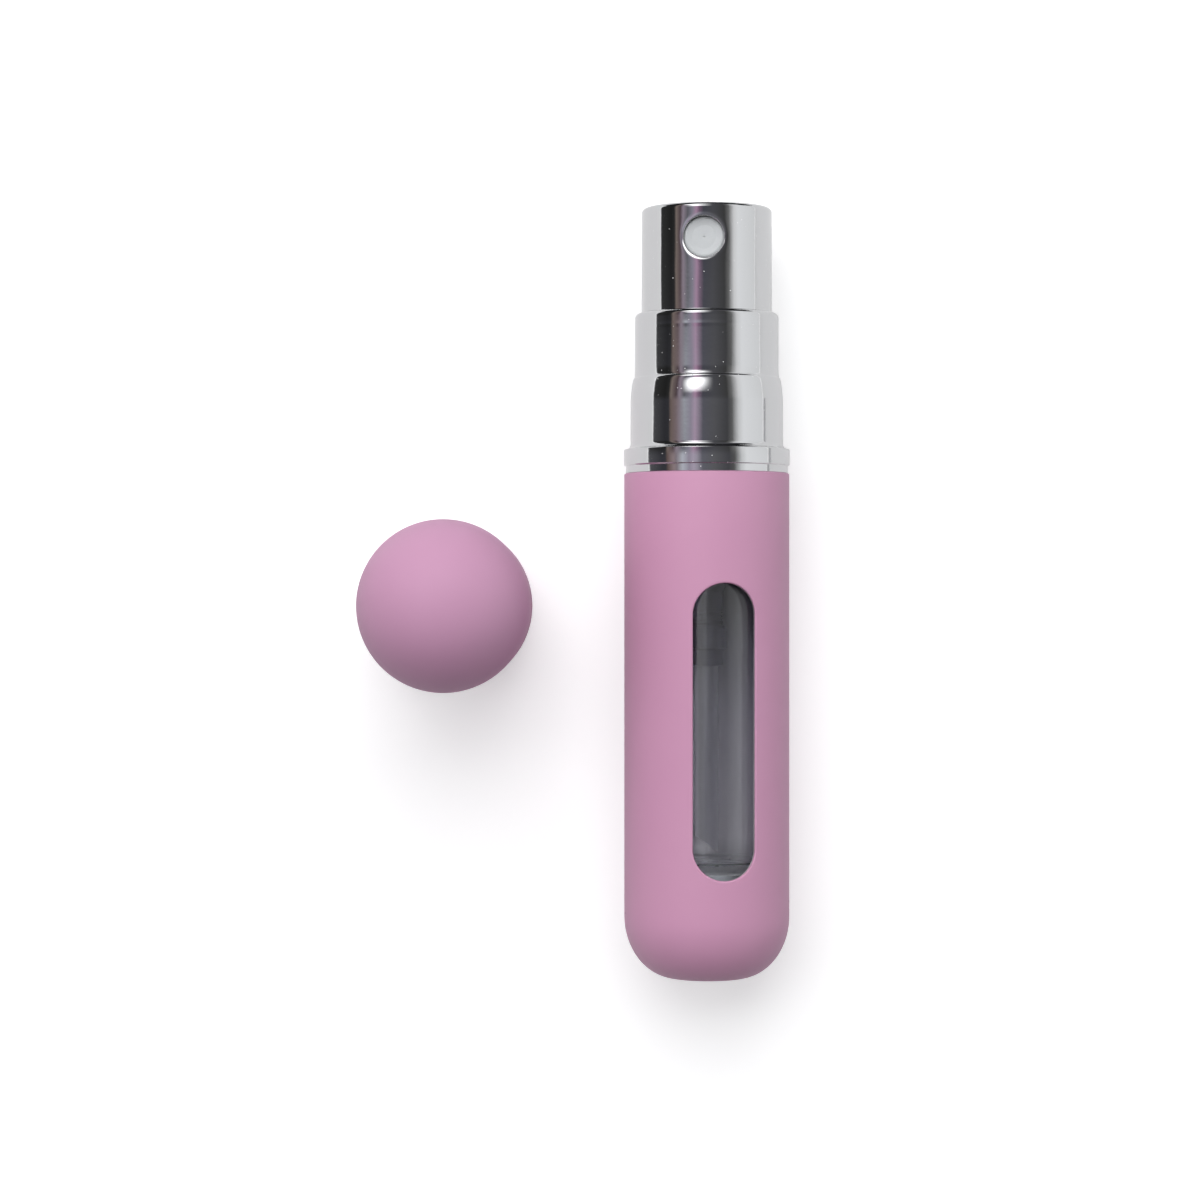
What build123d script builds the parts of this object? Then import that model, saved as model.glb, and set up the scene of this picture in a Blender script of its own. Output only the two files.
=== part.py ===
from build123d import *
import math
import os

# Refillable pocket perfume atomizer, lying on its side, with its domed cap stood beside it.
# Millimetres. Every piece is drawn upright on the Z axis, where a "station" is its height above
# the bottle's base, and is then laid down or stood in its place.

# --- outer shell and window ---
SHELL_RADIUS = 8.5
SHELL_WALL = 0.6
SHELL_HEIGHT = 51.9
BASE_FLAT_RADIUS = 3.3
BASE_CORNER_RISE = 6.4
WINDOW_WIDTH = 6.4
WINDOW_BOTTOM = 10.6
WINDOW_RIM_MARGIN = 11.3
WINDOW_TURN = 10.4

# --- chrome collar, from the shell's rim upwards ---
BAND_INSET = 0.15
BAND_HEIGHT = 0.8
RING_OVERHANG = 0.05
RING_HEIGHT = 1.7
RING_EDGE = 0.15
RING_SHOULDER = 0.6
LOWER_TIER_INSET = 0.65
LOWER_TIER_HEIGHT = 7.1
LOWER_TIER_CORNER = 0.35
LOWER_TIER_CORNER_DROP = 1.2
UPPER_TIER_INSET = 0.45
UPPER_TIER_HEIGHT = 6.3
UPPER_TIER_CORNER = 0.5
COLLAR_WALL = 0.55
SKIRT_WALL = 0.7
SKIRT_DEPTH = 5.4

# --- spray button ---
BUTTON_GAP = 0.15
BUTTON_WALL = 0.35
BUTTON_TOP_WALL = 0.4
BUTTON_EDGE = 0.35
BUTTON_RISE = 10.8
BUTTON_TRAVEL = 3.5
BUTTON_STOP_GAP = 0.25
NOZZLE_DROP = 3.5
NOZZLE_TURN = -5.2
NOZZLE_HOLE_RADIUS = 2.25
NOZZLE_HOLE_GAP = 0.17
NOZZLE_LENGTH = 2.45
NOZZLE_INSET = 0.75
NOZZLE_FACE_WALL = 0.65
NOZZLE_BEVEL = 0.25
NOZZLE_ORIFICE_RADIUS = 0.12
NOZZLE_POST_RADIUS = 0.95
NOZZLE_CUP_RADIUS = 1.3
CORE_SKIRT_WALL = 1.1
CORE_SKIRT_GAP = 0.7
CORE_HUB_WALL = 1.05
CORE_HUB_GAP = 1.6
CORE_POCKET_FLOOR = 1.55
CORE_CHANNEL_RADIUS = 0.5

# --- reservoir ---
RESERVOIR_WALL = 1.0
RESERVOIR_FLOOR = 12.1
RESERVOIR_FLOOR_WALL = 1.1
RESERVOIR_CORNER = 1.0
NECK_WALL = 1.0
NECK_LENGTH = 8.0
NECK_STAND_UP = 2.1
FLOOR_PORT_RADIUS = 0.45
FLOOR_PORT_PITCH = 1.75
FLOOR_PORT_COUNT = 3
BOSS_WALL = 0.8
BOSS_DEPTH = 1.6

# --- pump ---
GASKET = 0.5
HOLDER_FLANGE = 1.5
HOLDER_PLUG_DEPTH = 3.5
LINER_WALL = 1.0
HOUSING_GASKET = 0.4
HOUSING_GASKET_WIDTH = 0.95
HOUSING_FLANGE_REACH = 1.1
HOUSING_FLANGE = 0.8
BARREL_RADIUS = 3.2
BARREL_WALL = 0.8
BARREL_LENGTH = 13.2
BARREL_BOTTOM_WALL = 1.5
THROAT_TAPER = 2.9
THROAT_WALL = 0.3
THROAT_LENGTH = 3.6
RIB_COUNT = 4
RIB_PITCH = 0.4
RIB_DEPTH = 0.15
FOOT_REACH = 0.4
FOOT_LENGTH = 2.2
NOSE_LENGTH = 1.7
DIP_RADIUS = 1.2
DIP_WALL = 0.4
DIP_SOCKET_DEPTH = 4.8
DIP_FLOOR_GAP = 0.9
DIP_END_SLANT = 35
BALL_RADIUS = 1.2
BALL_CAGE_GAP = 0.15
BALL_LIP = 0.25
SEAT_RISE = 0.8
INLET_RADIUS = 0.6
PUMP_SPRING_WIRE_RADIUS = 0.2
PUMP_SPRING_TURNS = 5
STEM_RADIUS = 1.6
STEM_BORE_RADIUS = 0.55
STEM_TIP_RADIUS = 1.0
STEM_TIP_LENGTH = 1.9
STEM_PORT_RADIUS = 0.4
PISTON_LENGTH = 2.4
PISTON_WAIST = 0.35
SEAL_WALL = 0.6
SEAL_REACH = 1.0
CLOSURE_WALL = 0.75
CLOSURE_PLATE = 0.9
CLOSURE_GUIDE_WALL = 1.25
CLOSURE_GUIDE_GAP = 1.8

# --- filling valve in the base ---
PORT_RADIUS = 2.05
PORT_LEAD_DEPTH = 2.9
PORT_GROOVE = 0.5
PORT_GROOVE_DEPTH = 0.35
PORT_INNER_RADIUS = 1.95
PORT_INNER_DEPTH = 1.9
PORT_RECESS = 0.1
PORT_MOUTH = 0.2
PORT_SPIGOT_WALL = 0.65
PORT_FLANGE = 1.2
PORT_LAND = 1.0
PORT_LAND_GAP = 0.4
PORT_BODY_WALL = 0.6
VALVE_CHAMBER_RADIUS = 2.4
VALVE_SEAL = 0.7
VALVE_SEAL_GAP = 0.25
VALVE_DISC = 0.85
VALVE_DISC_GAP = 0.3
VALVE_TIP_RADIUS = 0.95
VALVE_TIP_SPARE = 0.2
VALVE_GUIDE_RADIUS = 0.8
VALVE_GUIDE_ENTRY = 0.4
VALVE_TRAVEL = 1.0
VALVE_SPRING_WIRE_RADIUS = 0.125
VALVE_SPRING_GAP = 0.425
VALVE_SPRING_TURNS = 3

# --- cap ---
CAP_WALL = 0.5
CAP_HEIGHT = 32.5
CAP_RIM_EDGE = 0.15
CAP_LINER_GAP = 0.1
CAP_LINER_RIBS = 8
CAP_LINER_RIB_WIDTH = 0.8
CAP_LINER_RIB_DEPTH = 0.06

# --- inner side of the rounded ends ---
INNER_RUNS = 3

# --- clearances ---
SEAT_GAP = 0.02
FIT_GAP = 0.05
RUNNING_GAP = 0.05
SLIDE_GAP = 0.2
SPRING_GAP = 0.25

# --- placing ---
CAP_SIDE_GAP = 9.5
CAP_SHIFT = -1.3

# --- outer form that follows from the sizes above ---
ring_radius = SHELL_RADIUS + RING_OVERHANG
band_radius = SHELL_RADIUS - BAND_INSET
lower_radius = SHELL_RADIUS - LOWER_TIER_INSET
upper_radius = lower_radius - UPPER_TIER_INSET
bore_radius = upper_radius - COLLAR_WALL
button_radius = bore_radius - BUTTON_GAP
lower_inner = lower_radius - COLLAR_WALL
skirt_radius = SHELL_RADIUS - SHELL_WALL - FIT_GAP
window_top = SHELL_HEIGHT - WINDOW_RIM_MARGIN
ring_base = SHELL_HEIGHT + BAND_HEIGHT
ring_top = ring_base + RING_HEIGHT
lower_base = ring_top + RING_SHOULDER
lower_top = lower_base + LOWER_TIER_HEIGHT
inner_step = lower_top - COLLAR_WALL
upper_top = lower_top + UPPER_TIER_HEIGHT
bottle_length = upper_top + BUTTON_RISE

# --- vial's neck and pump ---
neck_radius = skirt_radius - SKIRT_WALL - FIT_GAP
neck_inner = neck_radius - NECK_WALL
neck_top = SHELL_HEIGHT + NECK_STAND_UP
holder_base = neck_top + GASKET
holder_top = holder_base + HOLDER_FLANGE
holder_radius = lower_inner - FIT_GAP
flange_radius = BARREL_RADIUS + HOUSING_FLANGE_REACH
flange_base = holder_top + HOUSING_GASKET
housing_top = flange_base + HOUSING_FLANGE
chamber_radius = BARREL_RADIUS - BARREL_WALL
chamber_floor = housing_top - BARREL_LENGTH
barrel_bottom = chamber_floor - BARREL_BOTTOM_WALL
throat_top = barrel_bottom - THROAT_TAPER
foot_top = throat_top - THROAT_LENGTH
foot_bottom = foot_top - FOOT_LENGTH
nose_bottom = foot_bottom - NOSE_LENGTH
dip_top = nose_bottom + DIP_SOCKET_DEPTH
piston_top = housing_top - RUNNING_GAP
piston_base = piston_top - PISTON_LENGTH
stem_base = piston_top - STEM_TIP_LENGTH
seal_radius = chamber_radius + SEAL_REACH

# The ball rests on a cone that narrows from its cage to the inlet.
cage_radius = BALL_RADIUS + BALL_CAGE_GAP
throat_radius = cage_radius + THROAT_WALL
seat_run = cage_radius - INLET_RADIUS
seat_slant = math.hypot(seat_run, SEAT_RISE)
ball_rise = (BALL_RADIUS * seat_slant - cage_radius * SEAT_RISE) / seat_run + SEAT_GAP
cage_base = chamber_floor - BALL_LIP - cage_radius - ball_rise

# --- button and nozzle ---
button_base = inner_step + BUTTON_TRAVEL + BUTTON_STOP_GAP
button_inner = button_radius - BUTTON_WALL
core_radius = button_inner - FIT_GAP
core_top = bottle_length - BUTTON_TOP_WALL - SEAT_GAP
hub_base = button_base + CORE_HUB_GAP
guide_top = hub_base - BUTTON_TRAVEL - CLOSURE_GUIDE_GAP
nozzle_radius = NOZZLE_HOLE_RADIUS - NOZZLE_HOLE_GAP
nozzle_station = bottle_length - NOZZLE_DROP
nozzle_face = button_radius - NOZZLE_INSET
nozzle_back = nozzle_face - NOZZLE_LENGTH
pocket_radius = nozzle_radius + FIT_GAP
pocket_back = nozzle_back - SEAT_GAP
feed_station = nozzle_station - (NOZZLE_POST_RADIUS + pocket_radius) / 2
stem_top = feed_station - CORE_CHANNEL_RADIUS - FIT_GAP

# --- filling valve ---
floor_bottom = RESERVOIR_FLOOR - RESERVOIR_FLOOR_WALL
port_top = floor_bottom - SEAT_GAP
port_body_radius = VALVE_CHAMBER_RADIUS + PORT_BODY_WALL
spigot_radius = PORT_RADIUS + PORT_SPIGOT_WALL
groove_base = PORT_RECESS + PORT_LEAD_DEPTH
groove_top = groove_base + PORT_GROOVE
port_stop = groove_top + PORT_INNER_DEPTH
port_land_top = port_stop + PORT_LAND
valve_seat = port_land_top + VALVE_SEAL
valve_base = valve_seat + FIT_GAP
valve_top = valve_base + VALVE_DISC

# --- cap ---
cap_radius = ring_radius
cap_inner = cap_radius - CAP_WALL
dome_base = CAP_HEIGHT - cap_radius
cap_liner_radius = upper_radius + CAP_LINER_GAP
cap_liner_start = lower_top - ring_top + SLIDE_GAP


def chords(centre, radial, axial, turn):
    """Points of the few straight runs that line the hidden inner side of a rounded end, from its
    side wall through the given turn."""
    spots = []
    for i in range(INNER_RUNS + 1):
        angle = math.radians(turn * i / INNER_RUNS)
        spots.append((centre[0] + abs(radial * math.cos(angle)), centre[1] + axial * math.sin(angle)))
    return spots


def turned(*outline):
    """A solid turned about Z. The outline goes round in order, as (radius, station) points and
    arcs, and straight runs join each to the next."""
    spans = [(item, item) if isinstance(item, tuple) else (item @ 0, item @ 1) for item in outline]
    edges = [item for item in outline if not isinstance(item, tuple)]
    for (_, end), (start, _) in zip(spans, spans[1:] + spans[:1]):
        if (Vector(end) - Vector(start)).length > 1e-6:
            edges.append(Line(end, start))
    return revolve(Plane.XZ * make_face(edges), Axis.Z)


def ring(inner, outer, bottom, top):
    """A plain ring or washer."""
    return turned((inner, bottom), (outer, bottom), (outer, top), (inner, top))


def rod(radius, bottom, top):
    """A plain round bar on the Z axis."""
    return Pos(0, 0, bottom) * Cylinder(radius, top - bottom, align=(Align.CENTER, Align.CENTER, Align.MIN))


def coil_spring(radius, wire, bottom, top, turns):
    """A compression spring that fills the height from bottom to top. Its thin wire is drawn
    six-sided, within the given wire radius."""
    height = top - bottom - 2 * wire
    path = Helix(height / turns, height, radius)
    section = Plane(path @ 0, z_dir=path % 0) * RegularPolygon(wire, 6)
    return Pos(0, 0, bottom + wire) * sweep(section, path=path, is_frenet=True)


def across(station, turn):
    """A plane whose Z axis points out of the bottle's upper side, turned about its length."""
    outwards = Vector(0, -1, 0).rotate(Axis.Z, turn)
    return Plane(origin=(0, 0, station), x_dir=(0, 0, 1), z_dir=outwards)


def drilled(plane, radius, start, end):
    """A round bar along a plane's Z axis, from one distance to another."""
    bar = Cylinder(radius, end - start, align=(Align.CENTER, Align.CENTER, Align.MIN))
    return plane * Pos(0, 0, start) * bar


def outer_shell():
    """Thin tube closed at the base by a long elliptical corner, with the window slot cut through
    its upper side and a hole for the filling port in the base."""
    corner = SHELL_RADIUS - BASE_FLAT_RADIUS
    hole = spigot_radius + FIT_GAP
    inner = SHELL_RADIUS - SHELL_WALL
    centre = (BASE_FLAT_RADIUS, BASE_CORNER_RISE)
    body = turned(
        (hole, 0),
        EllipticalCenterArc(centre, corner, BASE_CORNER_RISE, start_angle=-90, arc_size=90),
        (SHELL_RADIUS, SHELL_HEIGHT),
        (inner, SHELL_HEIGHT),
        *chords(centre, corner - SHELL_WALL, BASE_CORNER_RISE - SHELL_WALL, -90),
        (hole, SHELL_WALL),
    )
    middle = across((WINDOW_BOTTOM + window_top) / 2, WINDOW_TURN)
    slot = SlotOverall(window_top - WINDOW_BOTTOM, WINDOW_WIDTH)
    return body - middle * extrude(slot, amount=2 * SHELL_RADIUS)


def reservoir():
    """Clear moulded vial: straight wall, stepped neck at the top, and a floor with a guide hole,
    ring of ports and short boss for the filling valve."""
    radius = SHELL_RADIUS - SHELL_WALL - SLIDE_GAP
    inner = radius - RESERVOIR_WALL
    shoulder = neck_top - NECK_LENGTH
    boss_inner = port_body_radius + FIT_GAP
    boss_outer = boss_inner + BOSS_WALL
    guide = VALVE_GUIDE_RADIUS + RUNNING_GAP
    body = turned(
        (guide, floor_bottom),
        (boss_inner, floor_bottom),
        (boss_inner, floor_bottom - BOSS_DEPTH),
        (boss_outer, floor_bottom - BOSS_DEPTH),
        (boss_outer, floor_bottom),
        (radius - RESERVOIR_CORNER, floor_bottom),
        (radius, floor_bottom + RESERVOIR_CORNER),
        (radius, shoulder),
        (neck_radius, shoulder),
        (neck_radius, neck_top),
        (neck_inner, neck_top),
        (neck_inner, shoulder),
        (inner, shoulder - RESERVOIR_WALL),
        (inner, RESERVOIR_FLOOR),
        (guide, RESERVOIR_FLOOR),
    )
    for port in PolarLocations(FLOOR_PORT_PITCH, FLOOR_PORT_COUNT):
        body -= port * rod(FLOOR_PORT_RADIUS, floor_bottom, RESERVOIR_FLOOR)
    return body


def collar():
    """Plated collar in one piece: skirt inside the shell, band, ring and two tiers that step in
    towards the button, with small bevels at the corners."""
    return turned(
        (neck_radius + FIT_GAP, SHELL_HEIGHT - SKIRT_DEPTH),
        (skirt_radius, SHELL_HEIGHT - SKIRT_DEPTH),
        (skirt_radius, SHELL_HEIGHT),
        (band_radius, SHELL_HEIGHT),
        (band_radius, ring_base),
        (ring_radius - RING_EDGE, ring_base),
        (ring_radius, ring_base + RING_EDGE),
        (ring_radius, ring_top - RING_EDGE),
        (ring_radius - RING_EDGE, ring_top),
        (lower_radius, lower_base),
        (lower_radius, lower_top - LOWER_TIER_CORNER_DROP),
        (lower_radius - LOWER_TIER_CORNER, lower_top),
        (upper_radius, lower_top),
        (upper_radius, upper_top - UPPER_TIER_CORNER),
        (upper_radius - UPPER_TIER_CORNER, upper_top),
        (bore_radius, upper_top),
        (bore_radius, inner_step),
        (lower_inner, inner_step),
        (lower_inner, neck_top),
        (neck_radius + FIT_GAP, neck_top),
    )


def collar_liner():
    """Plastic ring that holds the pump down under the collar's inner step."""
    return ring(holder_radius - LINER_WALL, holder_radius, holder_top, inner_step - SEAT_GAP)


def neck_gasket():
    """Flat rubber ring between the vial's neck and the pump holder."""
    return ring(neck_inner, neck_radius, neck_top, holder_base)


def pump_holder():
    """Plastic plug in the vial's neck, with a flange on the gasket and a bore for the pump."""
    bore = BARREL_RADIUS + FIT_GAP
    return turned(
        (bore, neck_top - HOLDER_PLUG_DEPTH),
        (neck_inner - FIT_GAP, neck_top - HOLDER_PLUG_DEPTH),
        (neck_inner - FIT_GAP, holder_base),
        (holder_radius, holder_base),
        (holder_radius, holder_top),
        (bore, holder_top),
    )


def housing_gasket():
    """Thin washer under the pump housing's flange."""
    return ring(flange_radius - HOUSING_GASKET_WIDTH, flange_radius, holder_top, flange_base)


def pump_housing():
    """Moulded pump barrel: flange, chamber, ball cage with a conical seat, ribbed throat, foot,
    and a nose with a socket for the dip tube."""
    socket = DIP_RADIUS + SEAT_GAP
    foot_radius = throat_radius + FOOT_REACH
    body = turned(
        (INLET_RADIUS, dip_top),
        (socket, dip_top),
        (socket, nose_bottom),
        (throat_radius, nose_bottom),
        (throat_radius, foot_bottom),
        (foot_radius, foot_bottom),
        (foot_radius, foot_top),
        (throat_radius, foot_top),
        (throat_radius, throat_top),
        (BARREL_RADIUS, barrel_bottom),
        (BARREL_RADIUS, flange_base),
        (flange_radius, flange_base),
        (flange_radius, housing_top),
        (chamber_radius, housing_top),
        (chamber_radius, chamber_floor),
        (cage_radius - BALL_LIP, chamber_floor),
        (cage_radius - BALL_LIP, chamber_floor - BALL_LIP),
        (cage_radius, chamber_floor - BALL_LIP),
        (cage_radius, cage_base),
        (INLET_RADIUS, cage_base - SEAT_RISE),
    )
    for i in range(RIB_COUNT):
        groove = foot_top + (i + 0.5) * RIB_PITCH
        body -= ring(throat_radius - RIB_DEPTH, throat_radius + RIB_DEPTH, groove, groove + RIB_PITCH / 2)
    return body


def check_ball():
    """Steel ball that closes the pump's inlet on its conical seat."""
    return Pos(0, 0, cage_base + ball_rise) * Sphere(BALL_RADIUS)


def pump_spring():
    """Return spring between the chamber's floor and the piston."""
    radius = chamber_radius - SPRING_GAP - PUMP_SPRING_WIRE_RADIUS
    bottom = chamber_floor + SEAT_GAP
    top = piston_base - SEAT_GAP
    return coil_spring(radius, PUMP_SPRING_WIRE_RADIUS, bottom, top, PUMP_SPRING_TURNS)


def dip_tube():
    """Thin tube from the pump's nose to just above the vial's floor, its end cut on a slant."""
    bottom = RESERVOIR_FLOOR + DIP_FLOOR_GAP
    tube = ring(DIP_RADIUS - DIP_WALL, DIP_RADIUS, bottom, dip_top - SEAT_GAP)
    size = 4 * DIP_RADIUS
    block = Box(size, size, size, align=(Align.CENTER, Align.CENTER, Align.MAX))
    return tube - Pos(DIP_RADIUS, 0, bottom) * Rot(0, DIP_END_SLANT, 0) * block


def pump_closure():
    """Snap ring over the housing's flange, with a guide tube for the stem."""
    bore = STEM_RADIUS + RUNNING_GAP
    seal_space = seal_radius + FIT_GAP
    flange_space = flange_radius + FIT_GAP
    outer = flange_space + CLOSURE_WALL
    guide = bore + CLOSURE_GUIDE_WALL
    plate = housing_top + SEAL_WALL
    plate_top = plate + CLOSURE_PLATE
    return turned(
        (bore, plate),
        (seal_space, plate),
        (seal_space, housing_top),
        (flange_space, housing_top),
        (flange_space, holder_top),
        (outer, holder_top),
        (outer, plate_top),
        (guide, plate_top),
        (guide, guide_top),
        (bore, guide_top),
    )


def stem_seal():
    """Rubber washer round the stem, trapped between the housing and its closure."""
    return ring(STEM_RADIUS + SEAT_GAP, seal_radius, housing_top, housing_top + SEAL_WALL)


def pump_stem():
    """Hollow stem that carries the button on top and the piston on its tip."""
    body = turned(
        (0, stem_base),
        (STEM_TIP_RADIUS, stem_base),
        (STEM_TIP_RADIUS, piston_top),
        (STEM_RADIUS, piston_top),
        (STEM_RADIUS, stem_top),
        (STEM_BORE_RADIUS, stem_top),
        (STEM_BORE_RADIUS, piston_top + STEM_PORT_RADIUS),
        (0, piston_top + STEM_PORT_RADIUS),
    )
    port = across(piston_top + 2 * STEM_PORT_RADIUS, 0)
    return body - drilled(port, STEM_PORT_RADIUS, 0, 2 * STEM_RADIUS)


def piston():
    """Soft piston with an upper and a lower lip that wipe the chamber's wall."""
    radius = chamber_radius - RUNNING_GAP
    bore = STEM_TIP_RADIUS
    lip = PISTON_LENGTH / 4
    return turned(
        (0, piston_base),
        (radius, piston_base),
        (radius, piston_base + lip),
        (radius - PISTON_WAIST, piston_base + lip),
        (radius - PISTON_WAIST, piston_top - lip),
        (radius, piston_top - lip),
        (radius, piston_top),
        (bore, piston_top),
        (bore, stem_base),
        (0, stem_base),
    )


def button_shell():
    """Drawn metal cup over the button, with a round hole in its side for the nozzle."""
    body = turned(
        (button_inner, button_base),
        (button_radius, button_base),
        (button_radius, bottle_length - BUTTON_EDGE),
        (button_radius - BUTTON_EDGE, bottle_length),
        (0, bottle_length),
        (0, bottle_length - BUTTON_TOP_WALL),
        (button_inner, bottle_length - BUTTON_TOP_WALL),
    )
    out = across(nozzle_station, NOZZLE_TURN)
    return body - drilled(out, NOZZLE_HOLE_RADIUS, 0, 2 * button_radius)


def button_core():
    """White moulded inside of the button: skirt, hub with the stem's socket, feed channels, and a
    pocket for the nozzle round a central post."""
    socket = STEM_RADIUS + RUNNING_GAP
    hub_radius = socket + CORE_HUB_WALL
    skirt_inner = core_radius - CORE_SKIRT_WALL
    skirt_base = button_base + CORE_SKIRT_GAP
    cavity_top = nozzle_station - pocket_radius - CORE_POCKET_FLOOR
    core = turned(
        (socket, hub_base),
        (hub_radius, hub_base),
        (hub_radius, cavity_top),
        (skirt_inner, cavity_top),
        (skirt_inner, skirt_base),
        (core_radius, skirt_base),
        (core_radius, core_top),
        (0, core_top),
        (0, stem_top + SEAT_GAP),
        (socket, stem_top + SEAT_GAP),
    )
    out = across(nozzle_station, NOZZLE_TURN)
    pocket = drilled(out, pocket_radius, pocket_back, 2 * button_radius)
    post = drilled(out, NOZZLE_POST_RADIUS, pocket_back, nozzle_face - NOZZLE_FACE_WALL - SEAT_GAP)
    riser = rod(CORE_CHANNEL_RADIUS, stem_top, feed_station + CORE_CHANNEL_RADIUS)
    feed = drilled(across(feed_station, NOZZLE_TURN), CORE_CHANNEL_RADIUS, 0, nozzle_back)
    return core - (pocket - post) - riser - feed


def nozzle_insert():
    """White cup pressed into the button's side, with a bevelled face and a fine spray orifice."""
    cup = turned(
        (NOZZLE_CUP_RADIUS, nozzle_back),
        (nozzle_radius, nozzle_back),
        (nozzle_radius, nozzle_face - NOZZLE_BEVEL),
        (nozzle_radius - NOZZLE_BEVEL, nozzle_face),
        (NOZZLE_ORIFICE_RADIUS, nozzle_face),
        (NOZZLE_ORIFICE_RADIUS, nozzle_face - NOZZLE_FACE_WALL),
        (NOZZLE_CUP_RADIUS, nozzle_face - NOZZLE_FACE_WALL),
    )
    return across(nozzle_station, NOZZLE_TURN) * cup


def filler_port():
    """Plastic bush through the base: mouth and lead bore for a bottle's stem, groove, inner bore
    with its stop, and valve chamber."""
    seated = SHELL_WALL + SEAT_GAP
    flange_radius = BASE_FLAT_RADIUS - FIT_GAP
    land_radius = VALVE_TIP_RADIUS + PORT_LAND_GAP
    groove_radius = PORT_RADIUS + PORT_GROOVE_DEPTH
    return turned(
        (PORT_RADIUS, PORT_RECESS + PORT_MOUTH),
        (PORT_RADIUS + PORT_MOUTH, PORT_RECESS),
        (spigot_radius, PORT_RECESS),
        (spigot_radius, seated),
        (flange_radius, seated),
        (flange_radius, seated + PORT_FLANGE),
        (port_body_radius, seated + PORT_FLANGE),
        (port_body_radius, port_top),
        (VALVE_CHAMBER_RADIUS, port_top),
        (VALVE_CHAMBER_RADIUS, port_land_top),
        (land_radius, port_land_top),
        (land_radius, port_stop),
        (PORT_INNER_RADIUS, port_stop),
        (PORT_INNER_RADIUS, groove_top),
        (groove_radius, groove_top),
        (groove_radius, groove_base),
        (PORT_RADIUS, groove_base),
    )


def port_seal():
    """Rubber ring on the valve's seat."""
    inner = VALVE_TIP_RADIUS + VALVE_SEAL_GAP
    return ring(inner, VALVE_CHAMBER_RADIUS - SEAT_GAP, port_land_top, valve_seat)


def valve_plunger():
    """Valve disc with a push tip towards the mouth and a guide stem into the vial's floor."""
    tip_base = port_stop - VALVE_TRAVEL - VALVE_TIP_SPARE
    disc_radius = VALVE_CHAMBER_RADIUS - VALVE_DISC_GAP
    stem_end = floor_bottom + VALVE_GUIDE_ENTRY
    return turned(
        (0, tip_base),
        (VALVE_TIP_RADIUS, tip_base),
        (VALVE_TIP_RADIUS, valve_base),
        (disc_radius, valve_base),
        (disc_radius, valve_top),
        (VALVE_GUIDE_RADIUS, valve_top),
        (VALVE_GUIDE_RADIUS, stem_end),
        (0, stem_end),
    )


def valve_spring():
    """Light spring that holds the valve disc on its seal."""
    radius = VALVE_GUIDE_RADIUS + VALVE_SPRING_GAP + VALVE_SPRING_WIRE_RADIUS
    bottom = valve_top + SEAT_GAP
    top = floor_bottom - SEAT_GAP
    return coil_spring(radius, VALVE_SPRING_WIRE_RADIUS, bottom, top, VALVE_SPRING_TURNS)


def cap_shell():
    """Thin cap with a hemispherical end, stood on its open rim."""
    return turned(
        (cap_inner, CAP_RIM_EDGE),
        (cap_inner + CAP_RIM_EDGE, 0),
        (cap_radius, 0),
        CenterArc((0, dome_base), cap_radius, 0, 90),
        *reversed(chords((0, dome_base), cap_inner, cap_inner, 90)),
    )


def cap_liner():
    """Plastic sleeve inside the cap, with low ribs that grip the collar's upper tier. It ends just
    under the dome."""
    top = dome_base - FIT_GAP
    sleeve = ring(cap_liner_radius, cap_inner - FIT_GAP, cap_liner_start, top)
    inset = cap_liner_radius - CAP_LINER_RIB_DEPTH
    rib_space = ring(inset, (cap_inner + cap_liner_radius) / 2, cap_liner_start, top)
    bar = Box(cap_inner, CAP_LINER_RIB_WIDTH, 2 * top, align=(Align.MIN, Align.CENTER, Align.CENTER))
    for turn in PolarLocations(0, CAP_LINER_RIBS):
        sleeve += rib_space & (turn * bar)
    return sleeve


# Bottle pieces are laid along +Y on the collar's ring, their window side up. The cap stands
# upright on the same floor.
bottle_x = ring_radius + CAP_SIDE_GAP / 2
laid = Pos(bottle_x, -bottle_length / 2, ring_radius) * Rot(-90, 0, 0)
stood = Pos(-CAP_SIDE_GAP / 2 - cap_radius, CAP_SHIFT, 0)

bottle_pieces = [
    outer_shell,
    reservoir,
    collar,
    collar_liner,
    neck_gasket,
    pump_holder,
    housing_gasket,
    pump_housing,
    check_ball,
    pump_spring,
    dip_tube,
    pump_closure,
    stem_seal,
    pump_stem,
    piston,
    button_shell,
    button_core,
    nozzle_insert,
    filler_port,
    port_seal,
    valve_plunger,
    valve_spring,
]
cap_pieces = [cap_shell, cap_liner]

os.makedirs("parts", exist_ok=True)
for place, pieces in ((laid, bottle_pieces), (stood, cap_pieces)):
    for piece in pieces:
        export_step(place * piece(), f"parts/{piece.__name__}.step")
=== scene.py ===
import bpy
import math
import numpy as np
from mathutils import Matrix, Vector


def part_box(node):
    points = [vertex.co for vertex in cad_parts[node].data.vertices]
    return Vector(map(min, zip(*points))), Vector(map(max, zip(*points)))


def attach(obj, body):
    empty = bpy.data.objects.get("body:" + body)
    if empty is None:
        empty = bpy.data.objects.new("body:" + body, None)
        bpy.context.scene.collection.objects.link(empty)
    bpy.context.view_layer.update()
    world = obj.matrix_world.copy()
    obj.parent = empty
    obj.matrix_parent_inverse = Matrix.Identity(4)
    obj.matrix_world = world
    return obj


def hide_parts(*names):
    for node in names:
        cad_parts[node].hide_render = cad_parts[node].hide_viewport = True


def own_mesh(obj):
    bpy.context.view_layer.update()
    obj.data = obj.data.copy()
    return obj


# Refillable perfume atomizer on its side, with its cap stood beside it. Metres, in the frame's own
# axes: the bottle lies along +Y from its base to its spray button, and +Z is up.

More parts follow.
